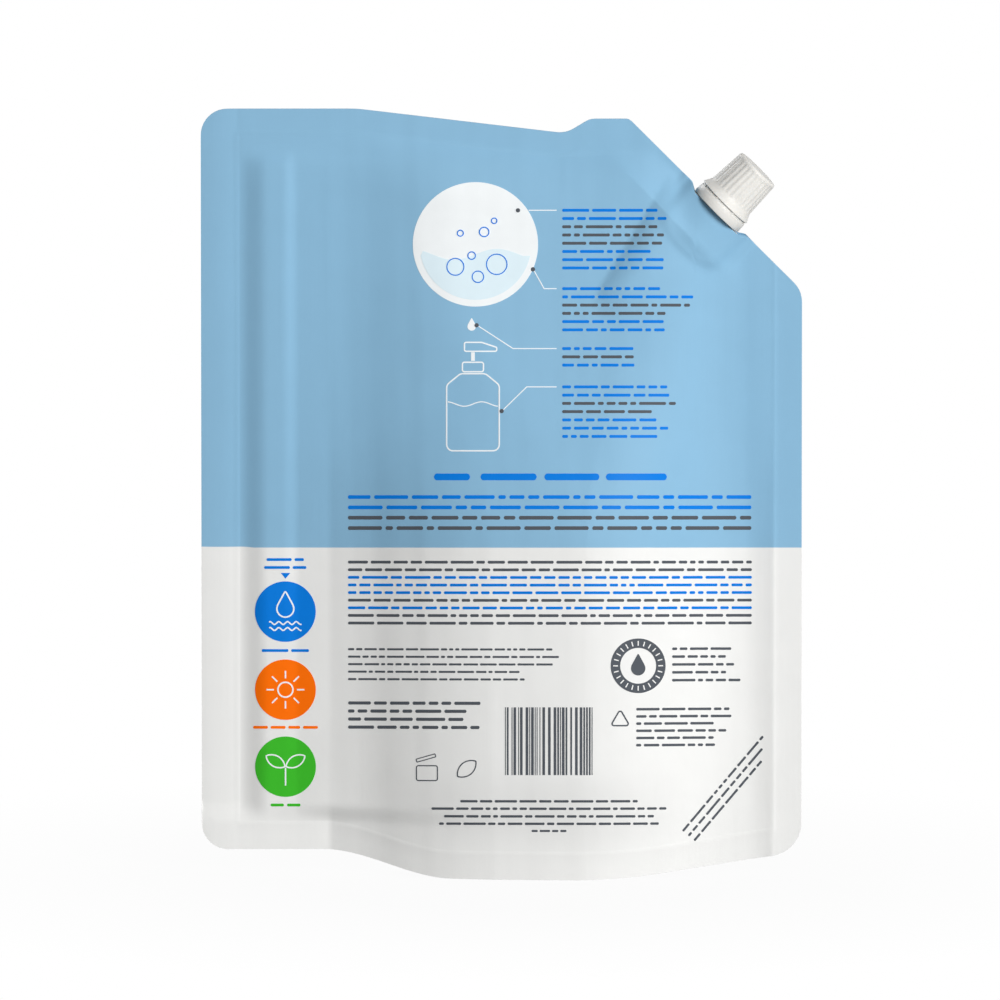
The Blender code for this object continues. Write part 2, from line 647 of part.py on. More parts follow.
def make_tamper_band(axis):
    moulding = plastic("band_plastic", (0.80, 0.79, 0.76), 0.35)
    low = -BAND_SINK
    edge = 0.3 * MM
    inner = NECK_RADIUS + FIT_GAP
    wall = BAND_RADIUS - BAND_TAPER - BAND_WALL
    loop = [(inner, low), (BAND_RADIUS - edge, low), (BAND_RADIUS, low + edge),
            (BAND_RADIUS - BAND_TAPER, BAND_TOP - edge), (BAND_RADIUS - BAND_TAPER - edge, BAND_TOP),
            (wall, BAND_TOP), (wall, low + BAND_FLOOR), (inner, low + BAND_FLOOR)]
    band = new_object("tamper_band", finish(turned(loop, TURNED_SEGMENTS), 30), moulding)
    bm = bmesh.new()
    height = TEAR_GAP - FIT_GAP
    for k in range(BRIDGE_COUNT):
        turn = Matrix.Rotation(2 * math.pi * (k + 0.5) / BRIDGE_COUNT, 4, "Z")
        move = Matrix.Translation((wall + BAND_WALL / 2, 0, BAND_TOP))
        size = Matrix.Diagonal((BRIDGE_SIZE * 0.8, BRIDGE_SIZE, 2 * height, 1))
        bmesh.ops.create_cube(bm, size=1, matrix=turn @ move @ size)
    bridges = new_object("tear_bridges", finish(bm), moulding)
    combine(band, bridges, "UNION")
    band.parent = axis
    bridges.parent = axis
    return band


def make_wad(axis):
    foam = plastic("wad_foam", (0.72, 0.72, 0.70), 0.6)
    radius = CAP_BORE_RADIUS - FIT_GAP
    low = WAD_TOP - WAD_THICKNESS
    edge = 0.2 * MM
    profile = [(0, low), (radius - edge, low), (radius, low + edge),
               (radius, WAD_TOP - edge), (radius - edge, WAD_TOP), (0, WAD_TOP)]
    wad = new_object("sealing_wad", finish(turned(profile, TURNED_SEGMENTS), 30), foam)
    wad.parent = axis
    return wad


def make_cap(axis):
    moulding = plastic("cap_plastic", (0.80, 0.79, 0.76), 0.35)
    profile = cap_profile()
    per_flute = 4

    def flute(index, k):
        return CAP_FLUTE_DEPTH * profile[index][2] if k % per_flute == 0 else 0.0

    bm = turned([(r, z) for r, z, _ in profile], CAP_FLUTES * per_flute, flute)
    cap = new_object("screw_cap", finish(bm, 30), moulding)
    ridges = new_object("cap_thread", finish(thread_ridges(
        CAP_BORE_RADIUS + THREAD_CLEARANCE, CAP_BORE_RADIUS - THREAD_DEPTH,
        CAP_THREAD_START, CAP_THREAD_LENGTH)), moulding)
    combine(cap, ridges, "UNION")
    cap.parent = axis
    ridges.parent = axis
    return cap


def main():
    for obj in list(bpy.data.objects):
        bpy.data.objects.remove(obj, do_unlink=True)
    axis = spout_axis()
    make_pouch(axis)
    make_spout(axis)
    make_tamper_band(axis)
    make_wad(axis)
    make_cap(axis)
    bpy.context.view_layer.update()


main()
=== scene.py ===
"""Looks of a spouted refill pouch: printed film, closure, light and camera.

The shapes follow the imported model's own sizes. Print is made of thin slabs of ink that lie on the
film. Positions on the print are measured from the pack's left edge and above the ground, as they
line up from the front.
"""

import json
import math
import random
from types import SimpleNamespace

import bmesh
import bpy
from mathutils import Matrix, Vector
from mathutils.bvhtree import BVHTree


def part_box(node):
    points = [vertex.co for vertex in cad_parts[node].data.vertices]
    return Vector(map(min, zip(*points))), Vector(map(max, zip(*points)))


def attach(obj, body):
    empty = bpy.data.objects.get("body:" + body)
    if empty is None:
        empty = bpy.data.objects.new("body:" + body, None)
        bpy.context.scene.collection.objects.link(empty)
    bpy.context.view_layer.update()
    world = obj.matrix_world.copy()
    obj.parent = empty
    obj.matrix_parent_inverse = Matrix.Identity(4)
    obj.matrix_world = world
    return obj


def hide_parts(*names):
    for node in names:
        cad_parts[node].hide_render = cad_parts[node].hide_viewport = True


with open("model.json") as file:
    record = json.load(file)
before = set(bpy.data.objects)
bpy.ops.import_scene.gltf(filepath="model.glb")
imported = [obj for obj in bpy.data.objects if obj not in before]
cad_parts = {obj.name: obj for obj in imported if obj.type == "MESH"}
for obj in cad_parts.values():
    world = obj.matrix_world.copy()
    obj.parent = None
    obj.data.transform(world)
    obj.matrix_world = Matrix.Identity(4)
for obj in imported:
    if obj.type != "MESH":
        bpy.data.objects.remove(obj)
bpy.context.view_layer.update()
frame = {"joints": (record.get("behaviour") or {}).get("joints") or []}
POUCH_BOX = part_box("pouch")
CAP_JOINT = next(joint for joint in frame["joints"] if joint["type"] == "hinge")

bl_info = {
    "name": "Refill pouch looks",
    "version": (1, 0, 0),
    "blender": (4, 5, 0),
    "location": "3D View > Sidebar > Refill pouch",
    "description": "Builds the printed film, the closure and the studio of a spouted refill pouch",
    "category": "Object",
}

MM = 0.001
DIAGONAL = math.sqrt(0.5)
PRINT_STEP = 1.3 * MM       # longest stretch between two points of the film or of a shape on it
FILM_ROWS = 125             # rows of the film between its lower and its upper weld
INK_LIFT = 0.1 * MM         # how far each layer of ink stands off the one below
INK_SINK = 0.12 * MM        # how far a slab of ink reaches into the film
HUB_SHARE = 0.02            # size of the face in the middle of a filled shape, against its outline
RIPPLE_COUNT = 7            # waves that add up to the film's ripples
THREAD_STARTS = 2
NECK_THREAD = 10 * MM       # length of the neck's thread without its run-outs
CAP_THREAD = 8.5 * MM       # length of the cap's thread
FLAT_ANGLE = 35.0           # degrees above which an edge of print or floor stays sharp
FILM_ANGLE = 32.0           # the same for the film, the mouldings and the fluted cap
MOULDED_ANGLE = 30.0
CAP_ANGLE = 65.0
FILM_GLOSS = 0.06           # specular level of film and ink
FLOOR_TONE = 0.35           # what the floor throws back at the pack; the camera sees it white
# Drop of the filled panel's left flank, against how far a place lies from its fullest line
FLANK_PROFILE = ((0.0, 0.0), (0.34, 0.095), (0.47, 0.19), (0.6, 0.345), (0.72, 0.545), (0.85, 0.785),
                 (1.0, 1.0), (1.15, 1.2))
# The same for the right flank, down to the flat border beside the right weld
PANEL_PROFILE = ((0.0, 0.0), (0.048, 0.010), (0.145, 0.048), (0.241, 0.113), (0.337, 0.208),
                 (0.434, 0.340), (0.530, 0.512), (0.627, 0.694), (0.723, 0.834), (0.819, 0.926),
                 (0.916, 0.981), (1.0, 1.0))


def length(name, description, millimetres):
    """A length property, given in millimetres."""
    return bpy.props.FloatProperty(name=name, description=description, default=millimetres * MM,
                                   min=0.0, unit="LENGTH", precision=5)


def factor(name, description, value):
    """A share of another size."""
    return bpy.props.FloatProperty(name=name, description=description, default=value, min=0.0,
                                   subtype="FACTOR")


def degrees(name, description, value):
    """An angle property, given in degrees."""
    return bpy.props.FloatProperty(name=name, description=description, default=math.radians(value),
                                   subtype="ANGLE", unit="ROTATION")


def colour(name, description, red, green, blue):
    """A colour property, given as linear values."""
    return bpy.props.FloatVectorProperty(name=name, description=description, subtype="COLOR",
                                         size=3, min=0.0, max=1.0, default=(red, green, blue))


class PouchSizes(bpy.types.PropertyGroup):
    """Sizes of the film pouch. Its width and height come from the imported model."""

    corner_radius: length("Corner radius", "Radius of the pouch's outer corners", 10.5)
    top_flat: length("Level top", "Level stretch of the top edge, from the left", 62.0)
    tab_drop: length("Tab drop", "How far the tab lies below the top edge", 4.0)
    tab_length: length("Tab length", "Length of the tab beside the spout", 15.5)
    tab_rise: length("Tab rise", "Height of the step up to the tab", 5.8)
    tab_rise_run: length("Tab step run", "Width of the step up to the tab", 9.7)
    chamfer_run: length("Cut corner", "Width of the cut corner", 68.7)
    foot_level_start: length("Foot start", "Start of the level foot, from the left", 99.4)
    foot_level_end: length("Foot end", "End of the level foot, from the left", 145.4)
    foot_lift_left: length("Left foot lift", "Lift of the foot's left end", 9.75)
    foot_lift_run: length("Foot lift run", "Length over which the foot lifts", 50.0)
    foot_lift_right: length("Right foot lift", "Lift of the foot's right end", 9.4)
    weld_thickness: length("Weld thickness", "Thickness of the welded films", 0.8)
    left_weld: length("Left weld", "Width of the left weld", 14.4)
    right_weld: length("Right weld", "Width of the right weld", 11.7)
    top_weld: length("Top weld", "Width of the top weld", 9.6)
    cut_weld: length("Corner weld", "Width of the flat weld along the cut corner", 2.0)
    cut_fold: length("Corner fold", "Where the film has risen from it to the panel", 15.5)
    foot_weld: length("Foot weld", "Height of the foot weld", 10.4)
    grip_strip: length("Grip strip", "Width from the left edge to the crease", 51.0)
    rib_start: length("Rib start", "Where the raised rib starts, from the left edge", 15.4)
    rib_flank: length("Rib flank", "Width of the rib's rising flank", 11.0)
    rib_top_width: length("Rib top", "Width of the rib's level top", 6.4)
    rib_height: length("Rib height", "Height of the raised rib", 2.5)
    rib_step: length("Rib step", "How far the film drops behind the rib", 1.1)
    rib_step_run: length("Rib step run", "Width of that drop", 5.4)
    rib_end_gap: length("Rib end gap", "Gap from the welds to the rib's ends", 5.0)
    rib_end_ramp: length("Rib end ramp", "Height over which the rib's ends rise", 8.4)
    crease_rise: length("Crease rise", "How far the strip rises towards the crease", 1.5)
    foot_depth: length("Foot depth", "Half of the depth at the foot", 20.0)
    belly_depth: length("Belly depth", "Half of the depth at the belly", 26.0)
    belly_start: length("Belly start", "Height at which the belly is full", 45.0)
    belly_end: length("Belly end", "Height above which the belly narrows", 136.0)
    neck_depth: length("Upper depth", "Half of the depth above the soap", 12.6)
    neck_level: length("Upper level", "Height of that depth", 200.0)
    top_depth: length("Top depth", "Half of the depth below the top seam", 6.0)
    top_level: length("Top level", "Height of that depth", 267.0)
    ridge_from_left: length("Ridge", "Fullest line of the belly, from the left", 152.0)
    ridge_shift: length("Ridge shift", "How far that line widens to the left at the top", 50.0)
    ridge_run: length("Ridge run", "Height over which it widens", 110.0)
    ridge_spread: factor("Ridge spread", "Its widening to the right, against that to the left", 0.4)
    flank_wave: factor("Flank wave", "How far the left flank turns S-shaped at the top", 0.85)
    panel_border: length("Flat border", "Flat film beside the right weld", 9.0)
    seam_round: length("Seam rounding", "Length over which the film leaves the seam", 24.0)
    shoulder_along: length("Fold start", "Upper end of the fold below the spout", 21.0)
    shoulder_reach: length("Fold reach", "How far that fold runs down", 36.0)
    shoulder_slant: factor("Fold slant", "How far it runs left for each length down", 0.62)
    shoulder_height: length("Fold height", "Height of the ridge beside the fold", 3.2)
    shoulder_width: length("Fold width", "From the fold to its ridge", 12.0)
    shoulder_spread: length("Fold spread", "From the ridge to where it dies away", 55.0)
    shoulder_fade: length("Fold fade", "Length over which the fold fades", 8.0)
    shoulder_early: factor("Early fade", "Share of that fading which lies above the fold's end", 0.3)
    gusset_recess: length("Gusset recess", "Depth of the folds in the gusset", 8.0)
    ripple_height: length("Ripple height", "Height of the film's upright ripples", 0.016)
    lip_height: length("Weld lip", "Height of the bead along the inner edge of a weld", 0.12)
    lip_width: length("Weld lip width", "Half of that bead's width", 0.8)
    edge_curl: length("Edge curl", "How far the lower right weld curls forward", 1.2)
    strip_lean: length("Strip lean", "How far the lower left weld lies behind the crease", 2.4)
    foot_lean: length("Foot lean", "How far the foot weld leans in, beside its right end", 4.5)
    flank_sway: length("Flank sway", "How far the crease lies behind the middle plane", 0.4)
    step_fade: factor("Step fade", "Share of the drop behind the rib that is gone at the bottom", 0.9)
    weld_bow: length("Weld bow", "How far the left weld bows out of its plane", 0.3)
    right_bow: factor("Right bow", "How far the right weld bows the other way, against that", 0.3)
    boss_blend: length("Boss blend", "How softly the film leaves the spout's base", 4.0)
    seam_rise_run: length("Seam rise", "Width over which the weld line rises at the tab", 60.0)


class ClosureSizes(bpy.types.PropertyGroup):
    """Sizes of the spout, the band and the cap, along the spout's axis."""

    boat_length: length("Base length", "Length of the welded spout base", 34.0)
    boat_width: length("Base width", "Width of the welded spout base", 13.7)
    boat_height: length("Base height", "Height of the welded spout base", 12.0)
    boat_tip: length("Base tip", "Width of the base's two tips", 0.7)
    notch_depth: length("Notch depth", "How far the film is cut back below the band", 2.0)
    notch_half: length("Notch half width", "Half of the notch's width", 12.3)
    notch_ramp: length("Notch ramp", "Width of the notch's sloping ends", 2.6)
    tip_fade: length("Tip fade", "Length over which the film closes past the base's tips", 2.4)
    neck_radius: length("Neck radius", "Outer radius of the threaded neck", 7.2)
    bore_radius: length("Bore radius", "Radius of the bore", 5.7)
    bead_radius: length("Bead radius", "Radius of the retaining bead", 8.9)
    thread_lead: length("Thread lead", "Rise of the thread in one turn", 6.0)
    thread_depth: length("Thread depth", "Height of the thread's ridge", 0.9)
    band_radius: length("Band radius", "Outer radius of the tamper band", 11.9)
    band_sink: length("Band sink", "How far the band sits inside the cut edge", 1.6)
    band_height: length("Band height", "Height of the tamper band", 4.3)
    band_taper: length("Band taper", "How much the band narrows upwards", 0.2)
    band_wall: length("Band wall", "Wall of the band", 1.2)
    band_floor: length("Band floor", "Thickness of the band's floor", 1.5)
    bridge_size: length("Bridge width", "Width of a tear bridge", 0.7)
    tear_gap: length("Tear gap", "Gap between band and cap", 0.65)
    cap_height: length("Cap height", "Height of the screw cap", 18.8)
    skirt_radius: length("Skirt radius", "Radius of the cap's flared skirt", 12.0)
    skirt_height: length("Skirt height", "Height of the flare", 3.6)
    body_radius: length("Body radius", "Radius of the cap above the flare", 10.3)
    top_radius: length("Top radius", "Radius of the cap's top", 9.5)
    top_thickness: length("Top thickness", "Thickness of the cap's top", 1.3)
    edge_round: length("Edge rounding", "Radius of the cap's top edge", 1.2)
    flute_depth: length("Flute depth", "Depth of the cap's flutes", 0.22)
    flute_tip: length("Flute tip", "Length of a flute's rounded end", 1.6)
    wad_thickness: length("Wad thickness", "Thickness of the sealing wad", 0.9)
    fit_gap: length("Fit gap", "Clearance between neighbouring pieces", 0.3)
    bridges: bpy.props.IntProperty(name="Bridges", description="Tear bridges round the band", default=8,
                                   min=2)
    flutes: bpy.props.IntProperty(name="Flutes", description="Flutes round the cap", default=27, min=8)


class PackColours(bpy.types.PropertyGroup):
    """Colours of the film, the inks and the closure."""

    film_blue: colour("Film blue", "Upper part of the film", 0.248, 0.462, 0.645)
    film_white: colour("Film white", "Lower part of the film", 0.808, 0.808, 0.793)
    ink_blue: colour("Blue ink", "Blue text and the blue disc", 0.003, 0.192, 0.700)
    ink_grey: colour("Grey ink", "Dark text", 0.085, 0.095, 0.110)
    ink_white: colour("White ink", "Card, outlines and leader lines", 0.850, 0.880, 0.890)
    ink_pale: colour("Pale ink", "Pale field on the card", 0.700, 0.830, 0.890)
    ink_orange: colour("Orange ink", "Orange disc", 0.990, 0.162, 0.002)
    ink_green: colour("Green ink", "Green disc", 0.047, 0.475, 0.025)
    closure: colour("Closure", "Natural white of spout, band and cap", 0.745, 0.732, 0.697)
    wad: colour("Wad", "Foamed sheet of the wad", 0.720, 0.720, 0.700)


class PrintLayout(bpy.types.PropertyGroup):
    """Where the print sits on the film."""

    scale: factor("Print scale", "Size of the print against its layout", 0.994)
    right: length("Print right", "Shift of the layout to the right", 0.66)
    up: length("Print up", "Shift of the layout upwards", 0.56)
    split_height: length("Colour change", "Height at which white film turns blue", 130.8)
    tilt: degrees("Print tilt", "How the print rises with the belly", 7.0)


class StudioSettings(bpy.types.PropertyGroup):
    """Camera, lamps and floor."""

    focal_length: bpy.props.FloatProperty(
        name="Focal length", description="Long lens, in millimetres", default=800.0, unit="CAMERA")
    elevation: degrees("Elevation", "Camera height above the horizon", 7.0)
    frame_width: length("Frame width", "Width that the picture shows at the pack", 397.6)
    aim_x: bpy.props.FloatProperty(name="Aim across", description="Aim point across the pack",
                                   default=-0.0006, unit="LENGTH")
    aim_z: length("Aim height", "Aim point above the ground", 149.86)
    ambient: bpy.props.FloatProperty(name="Ambient", description="Strength of the even light",
                                     default=0.06, min=0.0)
    key_power: bpy.props.FloatProperty(name="Key power", description="Power of the key lamp",
                                       default=175.0, min=0.0, unit="POWER")
    back_power: bpy.props.FloatProperty(
        name="Back power", description="Power of the lamp behind the pack", default=70.0, min=0.0,
        unit="POWER")
    key_azimuth: degrees("Key azimuth", "Key lamp's angle to the right of the camera", 33.0)
    key_elevation: degrees("Key elevation", "Key lamp's angle above the horizon", 16.0)
    key_distance: bpy.props.FloatProperty(
        name="Key distance", description="Distance of the key lamp", default=4.0, unit="LENGTH")
    key_size: bpy.props.FloatProperty(
        name="Key size", description="Diameter of the key lamp", default=1.8, unit="LENGTH")


def plain(group):
    """A property group's values as a plain object, which is quick to read."""
    return SimpleNamespace(**{name: getattr(group, name) for name in type(group).__annotations__})


def smooth(t):
    """Ease from 0 to 1 as t goes from 0 to 1, level at both ends."""
    t = min(max(t, 0.0), 1.0)
    return t * t * (3 - 2 * t)


def flow(knots, x):
    """A smooth curve through knots (x, value) that turns only where they do, level at its ends."""
    if x <= knots[0][0]:
        return knots[0][1]
    if x >= knots[-1][0]:
        return knots[-1][1]
    slopes = [(b[1] - a[1]) / (b[0] - a[0]) for a, b in zip(knots, knots[1:])]
    tangents = [0.0]
    for before, after in zip(slopes, slopes[1:]):
        tangents.append(2 * before * after / (before + after) if before * after > 0 else 0.0)
    tangents.append(0.0)
    k = next(i for i in range(len(slopes)) if x <= knots[i + 1][0])
    run = knots[k + 1][0] - knots[k][0]
    t = (x - knots[k][0]) / run
    rise = knots[k + 1][1] - knots[k][1]
    ease = t * (1 - t) * run
    return knots[k][1] + rise * smooth(t) + ease * ((1 - t) * tangents[k] - t * tangents[k + 1])


def rounded(corners, step=math.radians(6)):
    """An open path through corners (x, y, radius), each inner one rounded to its radius."""
    path = [Vector(corners[0][:2])]
    for before, corner, after in zip(corners, corners[1:], corners[2:]):
        here = Vector(corner[:2])
        back = (Vector(before[:2]) - here).normalized()
        ahead = (Vector(after[:2]) - here).normalized()
        half = back.angle(ahead) / 2
        radius = corner[2]
        if radius == 0 or half > math.radians(89.5):
            path.append(here)
            continue
        centre = here + (back + ahead).normalized() * (radius / math.sin(half))
        spoke = here + back * (radius / math.tan(half)) - centre
        turn = math.pi - 2 * half
        turn = turn if back.cross(ahead) < 0 else -turn
        steps = max(1, math.ceil(abs(turn) / step))
        path += [centre + Matrix.Rotation(turn * k / steps, 2) @ spoke for k in range(steps + 1)]
    path.append(Vector(corners[-1][:2]))
    return path


class PouchShape:
    """The pouch's form: its outline seen from the front and its depth at each place."""

    def __init__(self, sizes, closure):
        self.s = sizes
        self.c = closure
        self.left = POUCH_BOX[0].x
        self.right = POUCH_BOX[1].x
        self.height = POUCH_BOX[1].z
        self.spout_x = CAP_JOINT["pos_m"][0]
        self.spout_z = CAP_JOINT["pos_m"][2]
        self.crease = self.left + sizes.grip_strip
        self.right_weld = self.right - sizes.right_weld
        self.panel_end = self.right_weld - sizes.panel_border
        self.ridge = self.left + sizes.ridge_from_left
        self.tab_corner = self.right - sizes.chamfer_run
        self.tab_top = self.height - sizes.tab_drop
        self.tab_left = self.tab_corner - sizes.tab_length
        self.dip = self.tab_left - sizes.tab_rise_run
        self.ramp_foot = closure.notch_half + closure.notch_ramp
        self.top_path = self.top_edge()
        self.waves = self.ripple_waves()

    def on_cut_edge(self, along, inward):
        """A point given along the cut edge from the spout's axis, and inwards from that edge."""
        return (self.spout_x + (along - inward) * DIAGONAL,
                self.spout_z - (along + inward) * DIAGONAL)

    def top_edge(self):
        """The upper edge, from its left side over the tab and down the cut corner."""
        s = self.s
        c = self.c
        middle = self.height / 2
        corner_z = self.tab_top - s.chamfer_run
        corners = [
            (self.left, middle, 0),
            (self.left, self.height, s.corner_radius),
            (self.left + s.top_flat, self.height, 4 * s.corner_radius),
            (self.dip, self.tab_top - s.tab_rise, s.corner_radius),
            (self.tab_left, self.tab_top, 0.7 * s.corner_radius),
            (self.tab_corner, self.tab_top, 0.3 * s.corner_radius),
            (*self.on_cut_edge(-self.ramp_foot, 0), c.notch_depth),
            (*self.on_cut_edge(-c.notch_half, c.notch_depth), c.notch_depth),
            (*self.on_cut_edge(c.notch_half, c.notch_depth), c.notch_depth),
            (*self.on_cut_edge(self.ramp_foot, 0), c.notch_depth),
            (self.right, corner_z, s.corner_radius),
            (self.right, middle, 0),
        ]
        return rounded(corners)[1:-1]

    def head(self, x):
        """Height of the upper edge."""
        path = self.top_path
        for start, end in zip(path, path[1:]):
            if start.x <= x <= end.x and end.x > start.x:
                return start.y + (end.y - start.y) * (x - start.x) / (end.x - start.x)
        return path[0].y if x < path[0].x else path[-1].y

    def foot(self, x):
        """Height of the lower edge: level in the middle and lifted towards both sides."""
        s = self.s
        start = self.left + s.foot_level_start
        end = self.left + s.foot_level_end
        lift = s.foot_lift_left * smooth((start - x) / s.foot_lift_run)
        if x > end:
            lift = s.foot_lift_right * ((x - end) / (self.right - end)) ** 2
        inset = s.corner_radius - min(x - self.left, self.right - x)
        if inset > 0:
            lift += s.corner_radius - math.sqrt(max(s.corner_radius ** 2 - inset ** 2, 0.0))
        return lift

    def top_weld(self, x):
        """Upright width of the weld below the upper edge, or of the rise beside the cut edge."""
        s = self.s
        return flow([(self.tab_left, s.top_weld), (self.tab_corner, s.cut_fold / DIAGONAL)], x)

    def inside_cut_edge(self, x, z):
        """Distance of a point from the cut edge, inwards."""
        return (self.spout_x - x + self.spout_z - z) * DIAGONAL

    def seam_factor(self, x, z):
        """0 at the upper welds, growing to 1 where the film has left them."""
        s = self.s
        rise = s.tab_rise * smooth((x - self.dip) / s.seam_rise_run)
        below = self.head(min(x, self.dip)) + rise - s.top_weld - z
        away = min(max(below / s.seam_round, 0.0), 1.0)
        beside_cut = (self.inside_cut_edge(x, z) - s.cut_weld) / (s.cut_fold - s.cut_weld)
        return (1 - (1 - away) ** 2) * min(max(beside_cut, 0.0), 1.0)

    def depth_along_ridge(self, z):
        """Half of the filled panel's depth along its fullest line."""
        s = self.s
        return flow([(s.foot_weld, s.foot_depth), (s.belly_start, s.belly_depth),
                     (s.belly_end, s.belly_depth), (s.neck_level, s.neck_depth),
                     (s.top_level, s.top_depth)], z)

    def section(self, x, z):
        """Share of the full depth across the panel, 0 at the crease and beside the right weld."""
        s = self.s
        upper = smooth((z - s.belly_end) / s.ridge_run)
        left_end = self.ridge - s.ridge_shift * upper
        right_end = self.ridge + s.ridge_shift * s.ridge_spread * upper
        if x < left_end:
            away = (left_end - x) / (left_end - self.crease)
            wave = s.flank_wave * upper
            return 1 - (1 - wave) * flow(FLANK_PROFILE, away) - wave * (1 - math.cos(math.pi * away)) / 2
        away = max(x - right_end, 0.0) / (self.panel_end - right_end)
        return 1 - flow(PANEL_PROFILE, away)

    def grip_relief(self, x, z):
        """The grip strip's raised rib and its rise towards the crease."""
        s = self.s
        across = x - self.left - s.rib_start
        low = (z - s.foot_lift_left - s.foot_weld) / s.rib_end_ramp
        high = (self.height - s.top_weld - s.rib_end_gap - z) / s.rib_end_ramp
        flat = s.rib_flank + s.rib_top_width
        behind = flat + s.rib_step_run
        step = s.rib_step * (1 - s.step_fade * self.leaning(z))
        rib = flow([(0, 0), (s.rib_flank, s.rib_height), (flat, s.rib_height),
                    (behind, s.rib_height - step)], across)
        slope = max(across - behind, 0.0) / (s.grip_strip - s.rib_start - behind)
        rise = s.crease_rise * slope * self.depth_along_ridge(z) / s.belly_depth
        return (rib * smooth(high) + rise) * smooth(low)

    def shoulder(self, x, z):
        """Height of the ridge beside the fold below the spout."""
        s = self.s
        top_x, top_z = self.on_cut_edge(-s.shoulder_along, s.cut_fold)
        right = x - top_x + (top_z - z) * s.shoulder_slant
        if right <= 0:
            return 0.0
        rise = 1 - (1 - min(right / s.shoulder_width, 1.0)) ** 2
        spread = 1 - smooth((right - s.shoulder_width) / s.shoulder_spread)
        below = top_z - s.shoulder_reach - z
        fade = 1 - smooth(s.shoulder_early + below / (s.shoulder_fade + right))
        beside_weld = smooth((self.right_weld - x) / (2 * s.shoulder_width))
        return s.shoulder_height * rise * spread * fade * beside_weld

    def boat_half_width(self, along):
        """Half of the spout base's width at a distance along it from the axis."""
        c = self.c
        part = min(abs(along) / (c.boat_length / 2), 1.0)
        return c.boat_tip / 2 + (c.boat_width - c.boat_tip) / 2 * (1 - part ** 1.7)

    def spout_bulge(self, x, z):
        """Half depth that the film needs to pass over the spout's base."""
        c = self.c
        along = ((x - self.spout_x) - (z - self.spout_z)) * DIAGONAL
        end = c.notch_depth + c.boat_height + 2 * c.fit_gap
        cover = self.boat_half_width(along) + 3 * c.fit_gap
        past_tip = (abs(along) - c.boat_length / 2 - c.fit_gap) / c.tip_fade
        past_end = (self.inside_cut_edge(x, z) - end) / c.boat_height
        return cover * (1 - smooth(past_tip - 0.5)) * (1 - smooth(past_end))

    def ripple_waves(self):
        """Upright waves of the film: wave length, phase and share of the height."""
        draw = random.Random(7)
        return [(draw.uniform(7, 26) * MM, draw.uniform(0, 6.28), draw.uniform(0.4, 1.0))
                for _ in range(RIPPLE_COUNT)]

    def ripple(self, x, z):
        """Faint upright ripples that drift a little on their way up."""
        total = 0.0
        for wave, phase, part in self.waves:
            total += part * math.sin(2 * math.pi * (x + 0.02 * z) / wave + phase + 3 * z)
        return self.s.ripple_height * total

    def half_depth(self, x, z):
        """Distance from the pouch's middle plane to its outer face."""
        s = self.s
        if x <= self.left + s.rib_start or x >= self.right_weld:
            body = 0.0
        elif x < self.crease:
            body = self.grip_relief(x, z)
        else:
            fade = ((self.right_weld - x) / (self.right_weld - self.crease)) ** 4
            below = min(max(1 - (z - self.foot(x)) / s.foot_weld, 0.0), 1.0)
            right = smooth((x - self.ridge) / (self.panel_end - self.ridge))
            full = self.depth_along_ridge(z) * (1 - s.foot_lean / s.foot_depth * below * right)
            body = full * self.section(x, z) + self.shoulder(x, z)
            body += self.grip_relief(self.crease, z) * fade
        body = body * self.seam_factor(x, z) + self.ripple(x, z) + self.weld_lip(x, z)
        body += s.weld_thickness / 2
        boss = self.spout_bulge(x, z)
        blend = s.boss_blend * smooth(boss / s.boss_blend)
        return (body + boss + math.sqrt((body - boss) ** 2 + blend ** 2)) / 2

    def leaning(self, z):
        """1 at the foot, falling to 0 below the top."""
        s = self.s
        return 1 - smooth((z - s.belly_start) / (s.top_level - s.belly_start))

    def weld_lip(self, x, z):
        """The fine bead where the sealing bar pressed the film at the inner edge of a weld."""
        s = self.s
        inside = (x - self.left - s.left_weld, self.right_weld + s.lip_width - x,
                  z - self.foot(x) - s.foot_weld, self.head(x) - s.top_weld - z)
        if x > self.tab_left:
            inside = inside[:3]
        near = min(inside)
        return s.lip_height * (1 - smooth(abs(near) / s.lip_width))

    def sway(self, x, z):
        """How far the film lies in front of the middle plane, where the lower welds stand off it."""
        s = self.s
        upright_from = 0.9 * s.belly_end
        lower = 1 - smooth((z - upright_from) / (s.neck_level - upright_from))
        across = min(max((x - self.panel_end) / s.panel_border, 0.0), 1.0)
        behind = min(max((self.crease - x) / (s.grip_strip - s.rib_start), 0.0), 1.0)
        above = smooth((z - s.foot_lift_left - s.foot_weld) / s.rib_end_ramp)
        flank = min(max((self.ridge - x) / (self.ridge - self.crease), 0.0), 1.0) ** 2
        lean = (s.strip_lean * behind * above + s.flank_sway * flank) * self.leaning(z)
        one = min(max((x - self.left) / s.left_weld, 0.0), 1.0)
        two = min(max((self.right - x) / s.right_weld, 0.0), 1.0)
        bow = 4 * s.weld_bow * (one * (1 - one) - s.right_bow * two * (1 - two))
        return s.edge_curl * across ** 2 * lower - lean + bow

